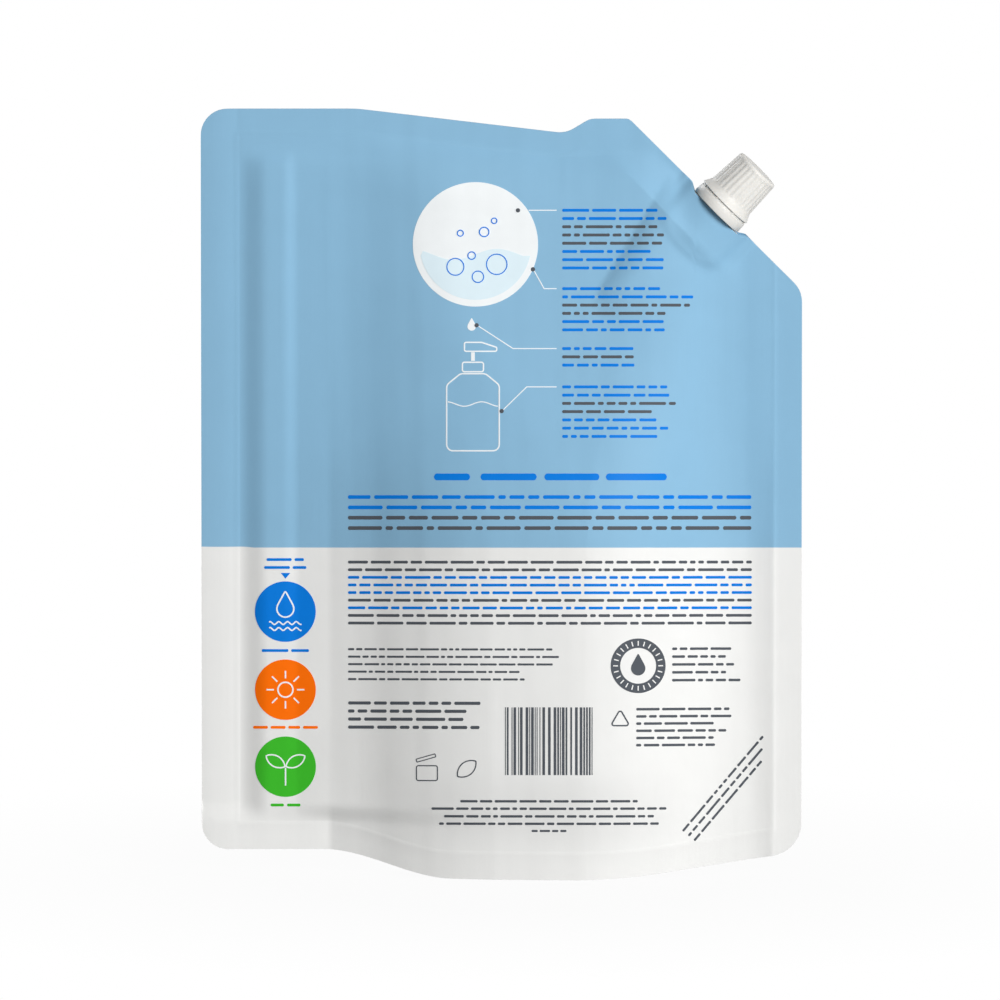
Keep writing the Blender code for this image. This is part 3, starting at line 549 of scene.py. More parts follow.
    def columns(self):
        """Places across the pack at which its sections are taken."""
        s = self.s
        radius = s.corner_radius
        arc = [radius * (1 - math.cos(math.radians(a))) for a in range(0, 91, 9)]
        rib = self.left + s.rib_start
        behind = rib + s.rib_flank + s.rib_top_width
        fixed = [self.left + a for a in arc] + [self.right - a for a in arc]
        fixed += [line + side * s.lip_width for side in (-1, 0, 1)
                  for line in (self.left + s.left_weld, self.right_weld + s.lip_width)]
        fixed += [rib, rib + s.rib_flank, behind, behind + s.rib_step_run, self.crease, self.ridge,
                  self.dip, self.tab_left, self.tab_corner, self.panel_end, self.right_weld]
        fixed += [self.on_cut_edge(along, 0)[0] for along in (-self.ramp_foot, self.ramp_foot)]
        fixed.sort()
        places = [fixed[0]]
        for start, end in zip(fixed, fixed[1:]):
            if end - places[-1] < 0.05 * MM:
                continue
            fine = self.dip < (start + end) / 2 < self.spout_x + self.c.boat_length * 0.5
            count = max(1, round((end - start) / (PRINT_STEP * (0.75 if fine else 1.0))))
            places += [start + (end - start) * (k + 1) / count for k in range(count)]
        return places

    def rows(self, x):
        """Heights at which one column is sampled, closer together beside the welds."""
        s = self.s
        foot = self.foot(x)
        head = self.head(x)
        weld = head - self.top_weld(x)
        low = foot + s.foot_weld
        near = s.rib_end_ramp * 1.6
        near_rows = 10
        weld_rows = 12
        levels = [foot, foot + 0.5 * MM, (foot + low) / 2, low - s.lip_width, low, low + s.lip_width]
        levels += [low + near * k / near_rows for k in range(1, near_rows + 1)]
        levels += [low + near + (weld - low - 2 * near) * k / FILM_ROWS for k in range(1, FILM_ROWS)]
        levels += [weld - near * k / near_rows for k in range(near_rows, 0, -1)]
        levels += [weld - s.lip_width, weld, weld + s.lip_width]
        levels += [weld + (head - weld) * k / weld_rows for k in range(2, weld_rows)]
        return levels + [head - 0.4 * MM, head]

    def gusset(self, x):
        """Points (y, z) below the pack, from its front face to its back face."""
        s = self.s
        foot = self.foot(x)
        half = self.half_depth(x, foot)
        opening = smooth((half - 2.5 * s.weld_thickness) / (s.foot_depth / 2))
        inner = half - s.weld_thickness * min(1.0, half / (2 * s.weld_thickness))
        recess = s.gusset_recess * opening
        steps = 12
        crest = 0.10
        inmost = 0.55
        side = []
        for k in range(steps + 1):
            across = inmost * k / steps
            fold = flow([(0, 0), (crest, 1.0), (inmost, 0.0)], across)
            side.append((inner * (1 - across), foot + recess * fold))
        front = [(-y, z) for y, z in side]
        return front + side[::-1]


def new_object(name, bm, material, smooth_angle=FLAT_ANGLE):
    """Close off a bmesh as a named object of the scene, with edges sharp above an angle."""
    bmesh.ops.recalc_face_normals(bm, faces=bm.faces)
    mesh = bpy.data.meshes.new(name)
    bm.to_mesh(mesh)
    bm.free()
    mesh.shade_smooth()
    mesh.set_sharp_from_angle(angle=math.radians(smooth_angle))
    mesh.materials.append(material)
    obj = bpy.data.objects.new(name, mesh)
    bpy.context.scene.collection.objects.link(obj)
    return obj


def build_film(shape):
    """The closed film body: front, back, gusset and the edges between them."""
    bm = bmesh.new()
    front = []
    back = []
    under = []
    over = []
    lip = 0.5 * MM
    cut_depth = 1.2 * MM
    for x in shape.columns():
        levels = shape.rows(x)
        depths = [shape.half_depth(x, z) for z in levels]
        forward = [shape.sway(x, z) for z in levels]
        front.append([bm.verts.new((x, -d - f, z)) for d, f, z in zip(depths, forward, levels)])
        back.append([bm.verts.new((x, d - f, z)) for d, f, z in zip(depths, forward, levels)])
        across = [bm.verts.new((x, y - forward[0], z)) for y, z in shape.gusset(x)]
        under.append([front[-1][0]] + across + [back[-1][0]])
        half = depths[-1]
        inner = half - min(lip, 0.4 * half)
        drop = levels[-1] - smooth((half - 2 * lip) / (4 * lip)) * cut_depth
        edge = [(-inner, levels[-1]), (-inner, drop), (inner, drop), (inner, levels[-1])]
        rim = [bm.verts.new((x, y - forward[-1], z)) for y, z in edge]
        over.append([front[-1][-1]] + rim + [back[-1][-1]])
    for sheet in (front, back, under, over):
        for one, two in zip(sheet, sheet[1:]):
            for a, b, c, d in zip(one, one[1:], two[1:], two):
                bm.faces.new((a, b, c, d))
    for i in (0, -1):
        bm.faces.new(under[i] + [back[i][1], front[i][1]])
        bm.faces.new(over[i] + [back[i][-2], front[i][-2]])
        for a, b, c, d in zip(front[i][1:-1], front[i][2:-1], back[i][2:-1], back[i][1:-1]):
            bm.faces.new((a, b, c, d))
    return bm


class FilmFace:
    """The film's front face as it was built, which carries the print."""

    def __init__(self, layout):
        film = bpy.data.objects.get("film_body")
        if film is None:
            raise RuntimeError("The film comes before its print")
        mesh = film.data
        self.tree = BVHTree.FromPolygons([v.co for v in mesh.vertices], [p.vertices for p in mesh.polygons])
        self.layout = layout
        self.rise = math.tan(layout.tilt)

    def place(self, right, up):
        """The face's place behind a point of the print's layout, as (x, depth, z)."""
        x = POUCH_BOX[0].x + self.layout.right + right * self.layout.scale
        level = self.layout.up + up * self.layout.scale
        towards = Vector((0.0, 1.0, -self.rise))
        hit = self.tree.ray_cast(Vector((x, -1.0, level + self.rise)), towards)[0]
        if hit is None:
            raise RuntimeError("The print runs past the film")
        return x, -hit.y, hit.z


class InkSheet:
    """Print in one ink: shapes on the print plane, laid on the film as thin slabs."""

    def __init__(self, face, layer=1):
        self.face = face
        self.bm = bmesh.new()
        self.lift = INK_LIFT * layer

    def slab(self, grid, closed=False, filled=False):
        """A thin slab over a grid of points, which may close on itself or fill its first ring."""
        tops = []
        bottoms = []
        for line in grid:
            placed = [self.face.place(right, up) for right, up in line]
            tops.append([self.bm.verts.new((x, -d - self.lift, z)) for x, d, z in placed])
            bottoms.append([self.bm.verts.new((x, -d + INK_SINK, z)) for x, d, z in placed])
        for sheet in (tops, bottoms):
            for one, two in zip(sheet, sheet[1:]):
                self.strip(one, two, closed)
        if filled:
            self.bm.faces.new(tops[0])
            self.bm.faces.new(bottoms[0])
        else:
            self.strip(tops[0], bottoms[0], closed)
        self.strip(tops[-1], bottoms[-1], closed)
        if not closed:
            self.strip([line[0] for line in tops], [line[0] for line in bottoms], False)
            self.strip([line[-1] for line in tops], [line[-1] for line in bottoms], False)

    def strip(self, one, two, closed):
        """Faces between two lines of vertices."""
        last = len(one) if closed else len(one) - 1
        for k in range(last):
            n = (k + 1) % len(one)
            self.bm.faces.new((one[k], one[n], two[n], two[k]))

    def patch(self, centre, outline):
        """A filled shape whose outline can be seen whole from its centre."""
        hub = Vector(centre)
        edge = dense(outline, closed=True)
        reach = max((p - hub).length for p in edge)
        rings = max(2, math.ceil(reach / PRINT_STEP))
        shares = [HUB_SHARE] + [k / rings for k in range(1, rings + 1)]
        self.slab([[hub + (p - hub) * share for p in edge] for share in shares], closed=True, filled=True)

    def stroke(self, points, width, closed=False):
        """A line of even width through points."""
        path = dense(points, closed=closed)
        count = len(path)
        inner = []
        outer = []
        for k, here in enumerate(path):
            before = path[k - 1] if (k > 0 or closed) else here
            after = path[(k + 1) % count] if (k < count - 1 or closed) else here
            ahead = (after - here).normalized() if (after - here).length > 0 else None
            back = (here - before).normalized() if (here - before).length > 0 else None
            one = back or ahead
            two = ahead or back
            along = (one + two).normalized()
            side = Vector((-along.y, along.x))
            stretch = 1 / max(side.dot(Vector((-one.y, one.x))), 0.5)
            inner.append(here - side * width / 2 * stretch)
            outer.append(here + side * width / 2 * stretch)
        self.slab([inner, outer], closed=closed)

    def loop(self, middle, points, radius, width):
        """A closed line with rounded corners, all in millimetres from a middle."""
        self.stroke(rounded_loop(around(middle, points), radius * MM), width * MM, closed=True)

    def bar(self, right, up, long, tall, angle=0.0):
        """A word-long bar with rounded ends, starting at a point."""
        turn = Matrix.Rotation(angle, 2)
        radius = tall / 2
        blunt = 0.03 * MM
        ends = (0.0, 0.3, 0.65, 1.0)
        places = [(radius * e, radius * math.sqrt(1 - (1 - e) ** 2) + blunt) for e in ends]
        middle = max(1, round((long - tall) / PRINT_STEP))
        for k in range(1, middle):
            places.append((radius + (long - tall) * k / middle, radius))
        places += [(long - a, h) for a, h in reversed(places[:len(ends)])]
        start = Vector((right, up))
        low = [start + turn @ Vector((a, -h)) for a, h in places]
        high = [start + turn @ Vector((a, h)) for a, h in places]
        self.slab([low, high])

    def finish(self, name, value):
        """The sheet as an object in one colour that rides on the pack."""
        obj = new_object(name, self.bm, ink_material(name, value))
        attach(obj, "pack")


def around(middle, points):
    """Points given in millimetres from a middle."""
    return [middle + Vector(point) * MM for point in points]


def towards(angle):
    """The direction at an angle in degrees from the right."""
    return Vector((math.cos(math.radians(angle)), math.sin(math.radians(angle))))


def spokes(count):
    """Directions at even angles all round."""
    return [towards(360 * k / count) for k in range(count)]


def circle(centre, radius, count):
    """Points round a circle."""
    return [centre + radius * spoke for spoke in spokes(count)]


def dense(points, closed=False):
    """The same path with points no further apart than the print's step."""
    path = [Vector(p) for p in points]
    ends = path[1:] + (path[:1] if closed else [])
    result = []
    for start, end in zip(path, ends):
        count = max(1, math.ceil((end - start).length / PRINT_STEP))
        result += [start + (end - start) * k / count for k in range(count)]
    return result if closed else result + [path[-1]]


def rounded_loop(corners, radius):
    """A closed path through corners, each rounded to one radius."""
    ring = [corners[-1], *corners, corners[0]]
    path = rounded([(*p, radius) for p in ring], math.radians(15))
    return dense(path[1:-1], closed=True)


def drop_outline(centre, radius, count=40):
    """A water drop: a circle drawn out to a point above."""
    points = []
    for spoke in spokes(count):
        pull = max(spoke.y, 0.0) ** 3
        points.append(centre + radius * Vector((spoke.x * (1 - 0.55 * pull), spoke.y + pull)))
    return points


def leaf_outline(centre, long, wide, angle):
    """A leaf with two pointed ends."""
    turn = Matrix.Rotation(angle, 2)
    points = []
    for spoke in spokes(36):
        across = spoke.y * abs(spoke.y) ** 0.6
        points.append(centre + turn @ Vector((long / 2 * spoke.x, wide / 2 * across)))
    return points


# Blocks of small text, drawn as rows of word-long bars: left end and first line's height,
# line pitch and longest line in millimetres, bar height, and one ink letter for each line
TEXT_BLOCKS = (
    (143.6, 266.7, 3.31, 45.0, 1.15, "bbgggbbb"),
    (143.6, 235.2, 3.31, 54.5, 1.15, "bbggbb"),
    (143.6, 211.1, 3.32, 39.0, 1.15, "bgb"),
    (143.6, 195.7, 3.32, 47.0, 1.15, "bbggbbb"),
    (58.0, 90.1, 3.02, 93.0, 0.80, "ggggg"),
    (58.0, 68.4, 3.25, 58.0, 1.25, "gggg"),
    (187.6, 90.3, 3.17, 29.5, 1.00, "ggggg"),
    (173.2, 66.0, 2.90, 40.0, 1.00, "gggggg"),
)
SHORTEST_LINE = 0.72                    # against the longest one
# The same for blocks whose lines all have one length
JUSTIFIED_BLOCKS = (
    (58.0, 151.4, 4.16, 161.4, 1.45, "bbgg"),
    (58.0, 125.2, 3.07, 161.6, 1.10, "ggbbbgbgg"),
)
# Lines by themselves: middle, height, length, bar height, ink letter
CENTRED_LINES = (
    (138.4, 28.9, 71.0, 0.95, "g"), (138.4, 25.9, 94.0, 0.95, "g"), (138.4, 22.8, 84.0, 0.95, "g"),
    (138.4, 19.8, 88.0, 0.95, "g"), (138.4, 16.9, 14.0, 0.80, "g"),
    (32.9, 126.2, 15.0, 1.1, "b"), (32.9, 123.0, 17.0, 1.1, "b"),
    (32.9, 89.5, 19.0, 1.1, "b"), (32.9, 58.5, 26.0, 1.1, "o"), (32.9, 27.1, 12.0, 1.1, "n"),
)
# Words of the title: left end and length
TITLE_WORDS = ((92.4, 14.5), (111.0, 22.5), (136.5, 22.0), (161.0, 24.5))
TITLE_HEIGHT = 2.7
TITLE_LEVEL = 159.5
WORDS = (2, 3, 3, 4, 5, 6, 7, 8, 9)     # lengths of words, in letters, as often as they occur
LETTER_WIDTH = 1.05                     # against the bar's height
WORD_GAP = 0.9                          # against a letter's width


def word_lengths(draw, long, letter, stretch):
    """Random word and gap lengths that fill a line of text."""
    words = []
    used = 0.0
    while used < long - 2 * letter:
        word = min(draw.choice(WORDS) * letter, long - used)
        words.append(word)
        used += word + letter * WORD_GAP
    fill = long / (used - letter * WORD_GAP) if stretch and used else 1.0
    return [word * fill for word in words], letter * WORD_GAP * fill


def text_line(sheets, draw, right, up, long, tall, ink, stretch, angle=0.0):
    """One line of text as word-long bars."""
    words, gap = word_lengths(draw, long, tall * LETTER_WIDTH, stretch)
    step = Vector((math.cos(angle), math.sin(angle)))
    place = Vector((right, up))
    for word in words:
        sheets[ink].bar(place.x, place.y, max(word, tall * 1.2), tall, angle)
        place += step * (word + gap)


class NodeTree:
    """A small helper that adds and links shader nodes."""

    def __init__(self, tree):
        self.tree = tree

    def add(self, kind, values=(), **settings):
        """A node with some of its inputs set or linked, by name or number."""
        node = self.tree.nodes.new(kind)
        for key, value in settings.items():
            setattr(node, key, value)
        for key, value in dict(values).items():
            if isinstance(value, bpy.types.NodeSocket):
                self.tree.links.new(value, node.inputs[key])
            else:
                node.inputs[key].default_value = value
        return node

    def maths(self, operation, one, two=0.0):
        """The result of a Math node."""
        node = self.add("ShaderNodeMath", {0: one, 1: two}, operation=operation)
        return node.outputs[0]

    def seen(self):
        """1 for the rays of the camera, of gloss and of transmission, and 0 for all others."""
        path = self.add("ShaderNodeLightPath").outputs
        gloss = self.maths("MAXIMUM", path["Is Glossy Ray"], path["Is Transmission Ray"])
        return self.maths("MAXIMUM", path["Is Camera Ray"], gloss)


def film_grain_group():
    """Shared effect: the film's fine upright streaks and pebbled gloss."""
    found = bpy.data.node_groups.get("film_grain")
    if found:
        return found
    group = bpy.data.node_groups.new("film_grain", "ShaderNodeTree")
    face = group.interface
    for name, value in (("Streaks", 1.0), ("Pebble", 0.12), ("Gloss spread", 0.1)):
        socket = face.new_socket(name=name, in_out="INPUT", socket_type="NodeSocketFloat")
        socket.default_value = value
    face.new_socket(name="Height", in_out="OUTPUT", socket_type="NodeSocketFloat")
    face.new_socket(name="Roughness", in_out="OUTPUT", socket_type="NodeSocketFloat")
    tree = NodeTree(group)
    given = tree.add("NodeGroupInput").outputs
    place = tree.add("ShaderNodeTexCoord").outputs["Object"]
    drawn_out = tree.add("ShaderNodeVectorMath", {0: place, 1: (460.0, 460.0, 9.0)},
                         operation="MULTIPLY").outputs[0]
    streaks = tree.add("ShaderNodeTexNoise", {"Vector": drawn_out, "Scale": 1.0, "Detail": 3.0,
                                              "Roughness": 0.55}).outputs[0]
    pebble = tree.add("ShaderNodeTexNoise", {"Vector": place, "Scale": 900.0, "Detail": 2.0}).outputs[0]
    cloud = tree.add("ShaderNodeTexNoise", {"Vector": place, "Scale": 30.0, "Detail": 2.0}).outputs[0]
    height = tree.maths("ADD", tree.maths("MULTIPLY", streaks, given["Streaks"]),
                        tree.maths("MULTIPLY", pebble, given["Pebble"]))
    spread = tree.maths("MULTIPLY", tree.maths("SUBTRACT", cloud, 0.5), given["Gloss spread"])
    rough = tree.maths("ADD", spread, 0.5)
    out = tree.add("NodeGroupOutput")
    group.links.new(height, out.inputs["Height"])
    group.links.new(rough, out.inputs["Roughness"])
    return group


def principled(name, specular, roughness=0.45):
    """A new material with its Principled shader."""
    material = bpy.data.materials.new(name)
    material.use_nodes = True
    shader = material.node_tree.nodes["Principled BSDF"]
    shader.inputs["Roughness"].default_value = roughness
    shader.inputs["Specular IOR Level"].default_value = specular
    return material, shader, NodeTree(material.node_tree)


def add_clouds(tree, shader, value, darkest, scale, detail):
    """Feed one colour into a material, with faint clouds. Gives back the place that it reads."""
    place = tree.add("ShaderNodeTexCoord").outputs["Object"]
    cloud = tree.add("ShaderNodeTexNoise", {"Vector": place, "Scale": scale, "Detail": detail}).outputs[0]
    tone = tree.add("ShaderNodeMix", data_type="RGBA")
    tone.inputs[6].default_value = (*[v * darkest for v in value], 1.0)
    tone.inputs[7].default_value = (*[min(v * 1.03, 1.0) for v in value], 1.0)
    tree.tree.links.new(cloud, tone.inputs[0])
    tree.tree.links.new(tone.outputs[2], shader.inputs["Base Color"])
    return place


def add_film_grain(tree, shader):
    """Feed the film's grain into a material's roughness and normal."""
    grain = tree.add("ShaderNodeGroup", node_tree=film_grain_group())
    bump = tree.add("ShaderNodeBump", {"Height": grain.outputs["Height"], "Strength": 0.5,
                                       "Distance": 0.06 * MM})
    tree.tree.links.new(bump.outputs[0], shader.inputs["Normal"])
    tree.tree.links.new(grain.outputs["Roughness"], shader.inputs["Roughness"])


def film_material(colours, layout):
    """Laminate film: blue above, white below, with the change at one height of the print."""
    material, shader, tree = principled("printed_film", FILM_GLOSS)
    place = tree.add("ShaderNodeTexCoord").outputs["Object"]
    parts = tree.add("ShaderNodeSeparateXYZ", {0: place}).outputs
    depth = tree.maths("ABSOLUTE", parts["Y"])
    on_print = tree.maths("SUBTRACT", parts["Z"], tree.maths("MULTIPLY", depth, math.tan(layout.tilt)))
    edge = 0.12 * MM
    mask = tree.add("ShaderNodeMapRange", {"Value": on_print, "From Min": layout.split_height - edge,
                                           "From Max": layout.split_height + edge}).outputs[0]
    tone = tree.add("ShaderNodeMix", data_type="RGBA")
    tone.inputs[6].default_value = (*colours.film_white, 1.0)
    tone.inputs[7].default_value = (*colours.film_blue, 1.0)
    tree.tree.links.new(mask, tone.inputs[0])
    cloud = tree.add("ShaderNodeTexNoise", {"Vector": place, "Scale": 60.0, "Detail": 3.0}).outputs[0]
    uneven = tree.add("ShaderNodeMapRange", {"Value": cloud, "To Min": 0.97, "To Max": 1.03}).outputs[0]
    tinted = tree.add("ShaderNodeVectorMath", {0: tone.outputs[2], 1: uneven}, operation="MULTIPLY")
    tree.tree.links.new(tinted.outputs[0], shader.inputs["Base Color"])
    add_film_grain(tree, shader)
    return material


def ink_material(name, value):
    """One printed ink, with the film's grain."""
    material, shader, tree = principled("ink_" + name, FILM_GLOSS)
    add_clouds(tree, shader, value, 0.97, 120.0, 2.0)
    add_film_grain(tree, shader)
    return material


def moulding_material(name, value, roughness):
    """Moulded polyolefin: milky, with a soft gloss and slight flow marks."""
    material, shader, tree = principled(name, 0.3, roughness)
    place = add_clouds(tree, shader, value, 0.96, 160.0, 3.0)
    shader.inputs["Subsurface Weight"].default_value = 0.2
    shader.inputs["Subsurface Radius"].default_value = (0.9, 0.8, 0.7)
    shader.inputs["Subsurface Scale"].default_value = 1.0 * MM
    fine = tree.add("ShaderNodeTexNoise", {"Vector": place, "Scale": 1500.0, "Detail": 2.0}).outputs[0]
    bump = tree.add("ShaderNodeBump", {"Height": fine, "Strength": 0.15, "Distance": 0.02 * MM})
    tree.tree.links.new(bump.outputs[0], shader.inputs["Normal"])
    return material


def settings(context):
    """All property groups of the scene as plain values."""
    scene = context.scene
    return SimpleNamespace(pouch=plain(scene.pouch_sizes), closure=plain(scene.closure_sizes),
                           colours=plain(scene.pack_colours), layout=plain(scene.print_layout),
                           studio=plain(scene.studio_settings))


def turned(profile, segments, radius_at=None):
    """A turned solid: its profile (radius, z) runs from axis to axis, or is a closed loop."""
    bm = bmesh.new()
    rings = []
    for index, (radius, z) in enumerate(profile):
        if radius == 0:
            rings.append([bm.verts.new((0, 0, z))])
            continue
        ring = []
        for k in range(segments):
            angle = 2 * math.pi * k / segments
            r = radius_at(index, angle) if radius_at else radius
            ring.append(bm.verts.new((r * math.cos(angle), r * math.sin(angle), z)))
        rings.append(ring)
    pairs = list(zip(rings, rings[1:])) + ([(rings[-1], rings[0])] if profile[0][0] > 0 else [])
    for low, high in pairs:
        for k in range(segments):
            n = (k + 1) % segments
            if len(low) == 1:
                bm.faces.new((low[0], high[k], high[n]))
            elif len(high) == 1:
                bm.faces.new((low[k], low[n], high[0]))
            else:
                bm.faces.new((low[k], low[n], high[n], high[k]))
    return bm


def place_on_spout(bm):
    """Move a turned shape from the spout's own axis to its place on the pack."""
    turn = Matrix.Rotation(math.radians(45), 4, "Y")
    bm.transform(Matrix.Translation(CAP_JOINT["pos_m"]) @ turn)


def thread_height(lead, z, angle, low, high, phase):
    """Share of the thread's depth at a place on a turned wall, fading out at both ends."""
    pitch = lead / THREAD_STARTS
    half_crest = 0.25 * MM
    flank = 0.32 * MM
    run_out = lead / 6
    offset = (z - phase - lead * angle / (2 * math.pi)) % pitch
    away = min(offset, pitch - offset)
    ridge = 1 - smooth((away - half_crest) / flank)
    return ridge * smooth((z - low) / run_out) * smooth((high - z) / run_out)


def closure_levels(c):
    """Heights along the spout's axis that its pieces share."""
    band_top = c.band_height - c.band_sink
    base = band_top + c.tear_gap
    top = base + c.cap_height
    ceiling = top - c.top_thickness
    wad_top = ceiling - c.fit_gap
    return SimpleNamespace(
        boat_top=-c.notch_depth - c.fit_gap, bead_low=c.band_floor - c.band_sink + c.fit_gap,
        band_top=band_top, cap_base=base, thread_start=base + c.thread_lead / 3,
        neck_top=wad_top - c.wad_thickness - c.fit_gap, wad_top=wad_top, ceiling=ceiling, cap_top=top)


class PACK_OT_film(bpy.types.Operator):
    """Build the printed film body"""

    bl_idname = "pack.film"
    bl_label = "Film"

    def execute(self, context):
        v = settings(context)
        shape = PouchShape(v.pouch, v.closure)
        material = film_material(v.colours, v.layout)
        film = new_object("film_body", build_film(shape), material, FILM_ANGLE)
        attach(film, "pack")
        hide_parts("pouch")
        return {"FINISHED"}


class PACK_OT_text(bpy.types.Operator):
    """Lay the text areas as rows of word-long bars"""

    bl_idname = "pack.text"
    bl_label = "Text areas"

    def execute(self, context):
        v = settings(context)
        face = FilmFace(v.layout)
        sheets = {ink: InkSheet(face) for ink in "bgon"}
        draw = random.Random(11)
        for blocks, even in ((TEXT_BLOCKS, False), (JUSTIFIED_BLOCKS, True)):
            for right, up, pitch, long, tall, inks in blocks:
                for k, ink in enumerate(inks):
                    part = 1.0 if even else draw.uniform(SHORTEST_LINE, 1.0)
                    text_line(sheets, draw, right * MM, (up - k * pitch) * MM, long * part * MM,
                              tall * MM, ink, even)
        for centre, up, long, tall, ink in CENTRED_LINES:
            text_line(sheets, draw, (centre - long / 2) * MM, up * MM, long * MM, tall * MM, ink, True)
        for right, long in TITLE_WORDS:
            sheets["b"].bar(right * MM, TITLE_LEVEL * MM, long * MM, TITLE_HEIGHT * MM)
        self.slanted_note(sheets, draw)
        for ink, name, value in (("b", "text_blue", v.colours.ink_blue),
                                 ("g", "text_grey", v.colours.ink_grey),
                                 ("o", "text_orange", v.colours.ink_orange),
                                 ("n", "text_green", v.colours.ink_green)):
            sheets[ink].finish(name, value)
        return {"FINISHED"}

    def slanted_note(self, sheets, draw):
        """Three slanting lines in the lower right corner."""
        angle = math.radians(50)
        start = Vector((192.0, 16.6)) * MM
        across = Vector((math.sin(angle), -math.cos(angle)))
        for k in range(3):
            place = start + across * (3.0 * MM * k)
            text_line(sheets, draw, place.x, place.y, (50 - 4 * k) * MM, 0.9 * MM, "g", True, angle)


class PACK_OT_refill_panel(bpy.types.Operator):
    """Lay the refill picture: a round card, a drop, a pump bottle and leader lines"""

    bl_idname = "pack.refill_panel"
    bl_label = "Refill picture"

    def execute(self, context):
        v = settings(context)
        face = FilmFace(v.layout)
        white = InkSheet(face)
        pale = InkSheet(face, 2)
        blue = InkSheet(face, 3)
        grey = InkSheet(face, 3)
        card = Vector((109.0, 253.0)) * MM
        white.patch(card, circle(card, 25.0 * MM, 96))
        level = [(x, -4 + 2.2 * math.sin(x / 5.5)) for x in range(19, -22, -2)]
        bowl = [22.3 * towards(angle) for angle in range(192, 349, 6)]
        pale.patch(card + Vector((0, -11)) * MM, around(card, level + bowl))
        bubbles = ((-8, -9, 3.4), (1, -13, 2.3), (8.5, -8, 4.1), (-1.5, -4.5, 1.5), (3.5, 5, 1.9),
                   (-6, 4.5, 1.2), (7.5, 9.5, 1.1))
        for x, up, r in bubbles:
            blue.stroke(circle(card + Vector((x, up)) * MM, r * MM, 24), 0.42 * MM, closed=True)
        drop = card + Vector((-1.5, -33.0)) * MM
        white.patch(drop, drop_outline(drop, 1.7 * MM, 24))
        self.pump_bottle(white, Vector((108.0, 191.0)) * MM)
        leaders = (((126, 266.7), (130.2, 266.7), (141.4, 266.7)),
                   ((132, 243), (132.3, 242.6), (141.4, 235.2)),
                   ((109.5, 220.5), (109.8, 220.4), (141.4, 211.1)),
                   ((119.5, 186), (119.7, 186.1), (141.4, 195.7)))
        for at, start, to in leaders:
            bend = (start[0] + 0.45 * (to[0] - start[0]), to[1])
            white.stroke([Vector(p) * MM for p in (start, bend, to)], 0.38 * MM)
            dot = Vector(at) * MM
            grey.patch(dot, circle(dot, 0.85 * MM, 16))
        white.finish("panel_white", v.colours.ink_white)
        pale.finish("panel_pale", v.colours.ink_pale)
        blue.finish("panel_blue", v.colours.ink_blue)
        grey.finish("panel_dots", v.colours.ink_grey)
        return {"FINISHED"}

    def pump_bottle(self, sheet, middle):
        """A plain straight pump bottle in outline."""
        line = 0.55
        body = [(-10.5, -21), (10.5, -21), (10.5, 5.5), (5, 10), (-5, 10), (-10.5, 5.5)]
        collar = [(-4.2, 10.8), (4.2, 10.8), (4.2, 14.6), (-4.2, 14.6)]
        head = [(-3.4, 19), (9.5, 19), (9.5, 20.6), (3.4, 22.6), (-3.4, 22.6)]
        surface = [(x, -2.2 + 0.9 * math.sin(x / 2.2)) for x in range(-10, 11)]
        sheet.loop(middle, body, 2.5, line)
        sheet.loop(middle, collar, 0.8, line)
        sheet.stroke(around(middle, [(0, 15.2), (0, 18.6)]), 1.5 * MM)
        sheet.loop(middle, head, 0.7, line)
        sheet.stroke(around(middle, surface), 0.4 * MM)


class PACK_OT_use_discs(bpy.types.Operator):
    """Lay the three coloured discs on the grip strip, with plain motifs"""

    bl_idname = "pack.use_discs"
    bl_label = "Coloured discs"

    def execute(self, context):
        v = settings(context)
        face = FilmFace(v.layout)
        marks = InkSheet(face, 2)
        discs = (("disc_blue", 105.2, v.colours.ink_blue, self.wash_mark),
                 ("disc_orange", 73.7, v.colours.ink_orange, self.sun_mark),
                 ("disc_green", 42.6, v.colours.ink_green, self.leaf_mark))
        for name, up, value, add_mark in discs:
            sheet = InkSheet(face)
            centre = Vector((32.9, up)) * MM
            sheet.patch(centre, circle(centre, 12.2 * MM, 72))
            sheet.finish(name, value)
            add_mark(marks, centre)
        marks.finish("disc_marks", v.colours.ink_white)
        return {"FINISHED"}

    def wash_mark(self, sheet, middle):
        """A drop over two waves."""
        drop = middle + Vector((0, 1.2)) * MM
        sheet.stroke(drop_outline(drop, 3.4 * MM), 0.6 * MM, closed=True)
        for up in (-4.6, -7.0):
            wave = [(x * 0.5, up + 0.6 * math.sin(x * 0.9)) for x in range(-13, 14)]
            sheet.stroke(around(middle, wave), 0.55 * MM)

    def sun_mark(self, sheet, middle):
        """A ring with eight rays."""
        sheet.stroke(circle(middle, 3.0 * MM, 32), 0.6 * MM, closed=True)
        for ray in spokes(8):
            sheet.stroke(around(middle, [4.6 * ray, 7.6 * ray]), 0.6 * MM)

    def leaf_mark(self, sheet, middle):
        """Two leaves on a stem."""
        for side, angle in ((-1, 150), (1, 30)):
            centre = middle + Vector((side * 4.0, 2.2)) * MM
            outline = leaf_outline(centre, 8.6 * MM, 4.4 * MM, math.radians(angle))
            sheet.stroke(outline, 0.55 * MM, closed=True)
        sheet.stroke(around(middle, [(0, -0.4), (0, -2.8), (0, -5.2), (0, -7.6)]), 0.6 * MM)


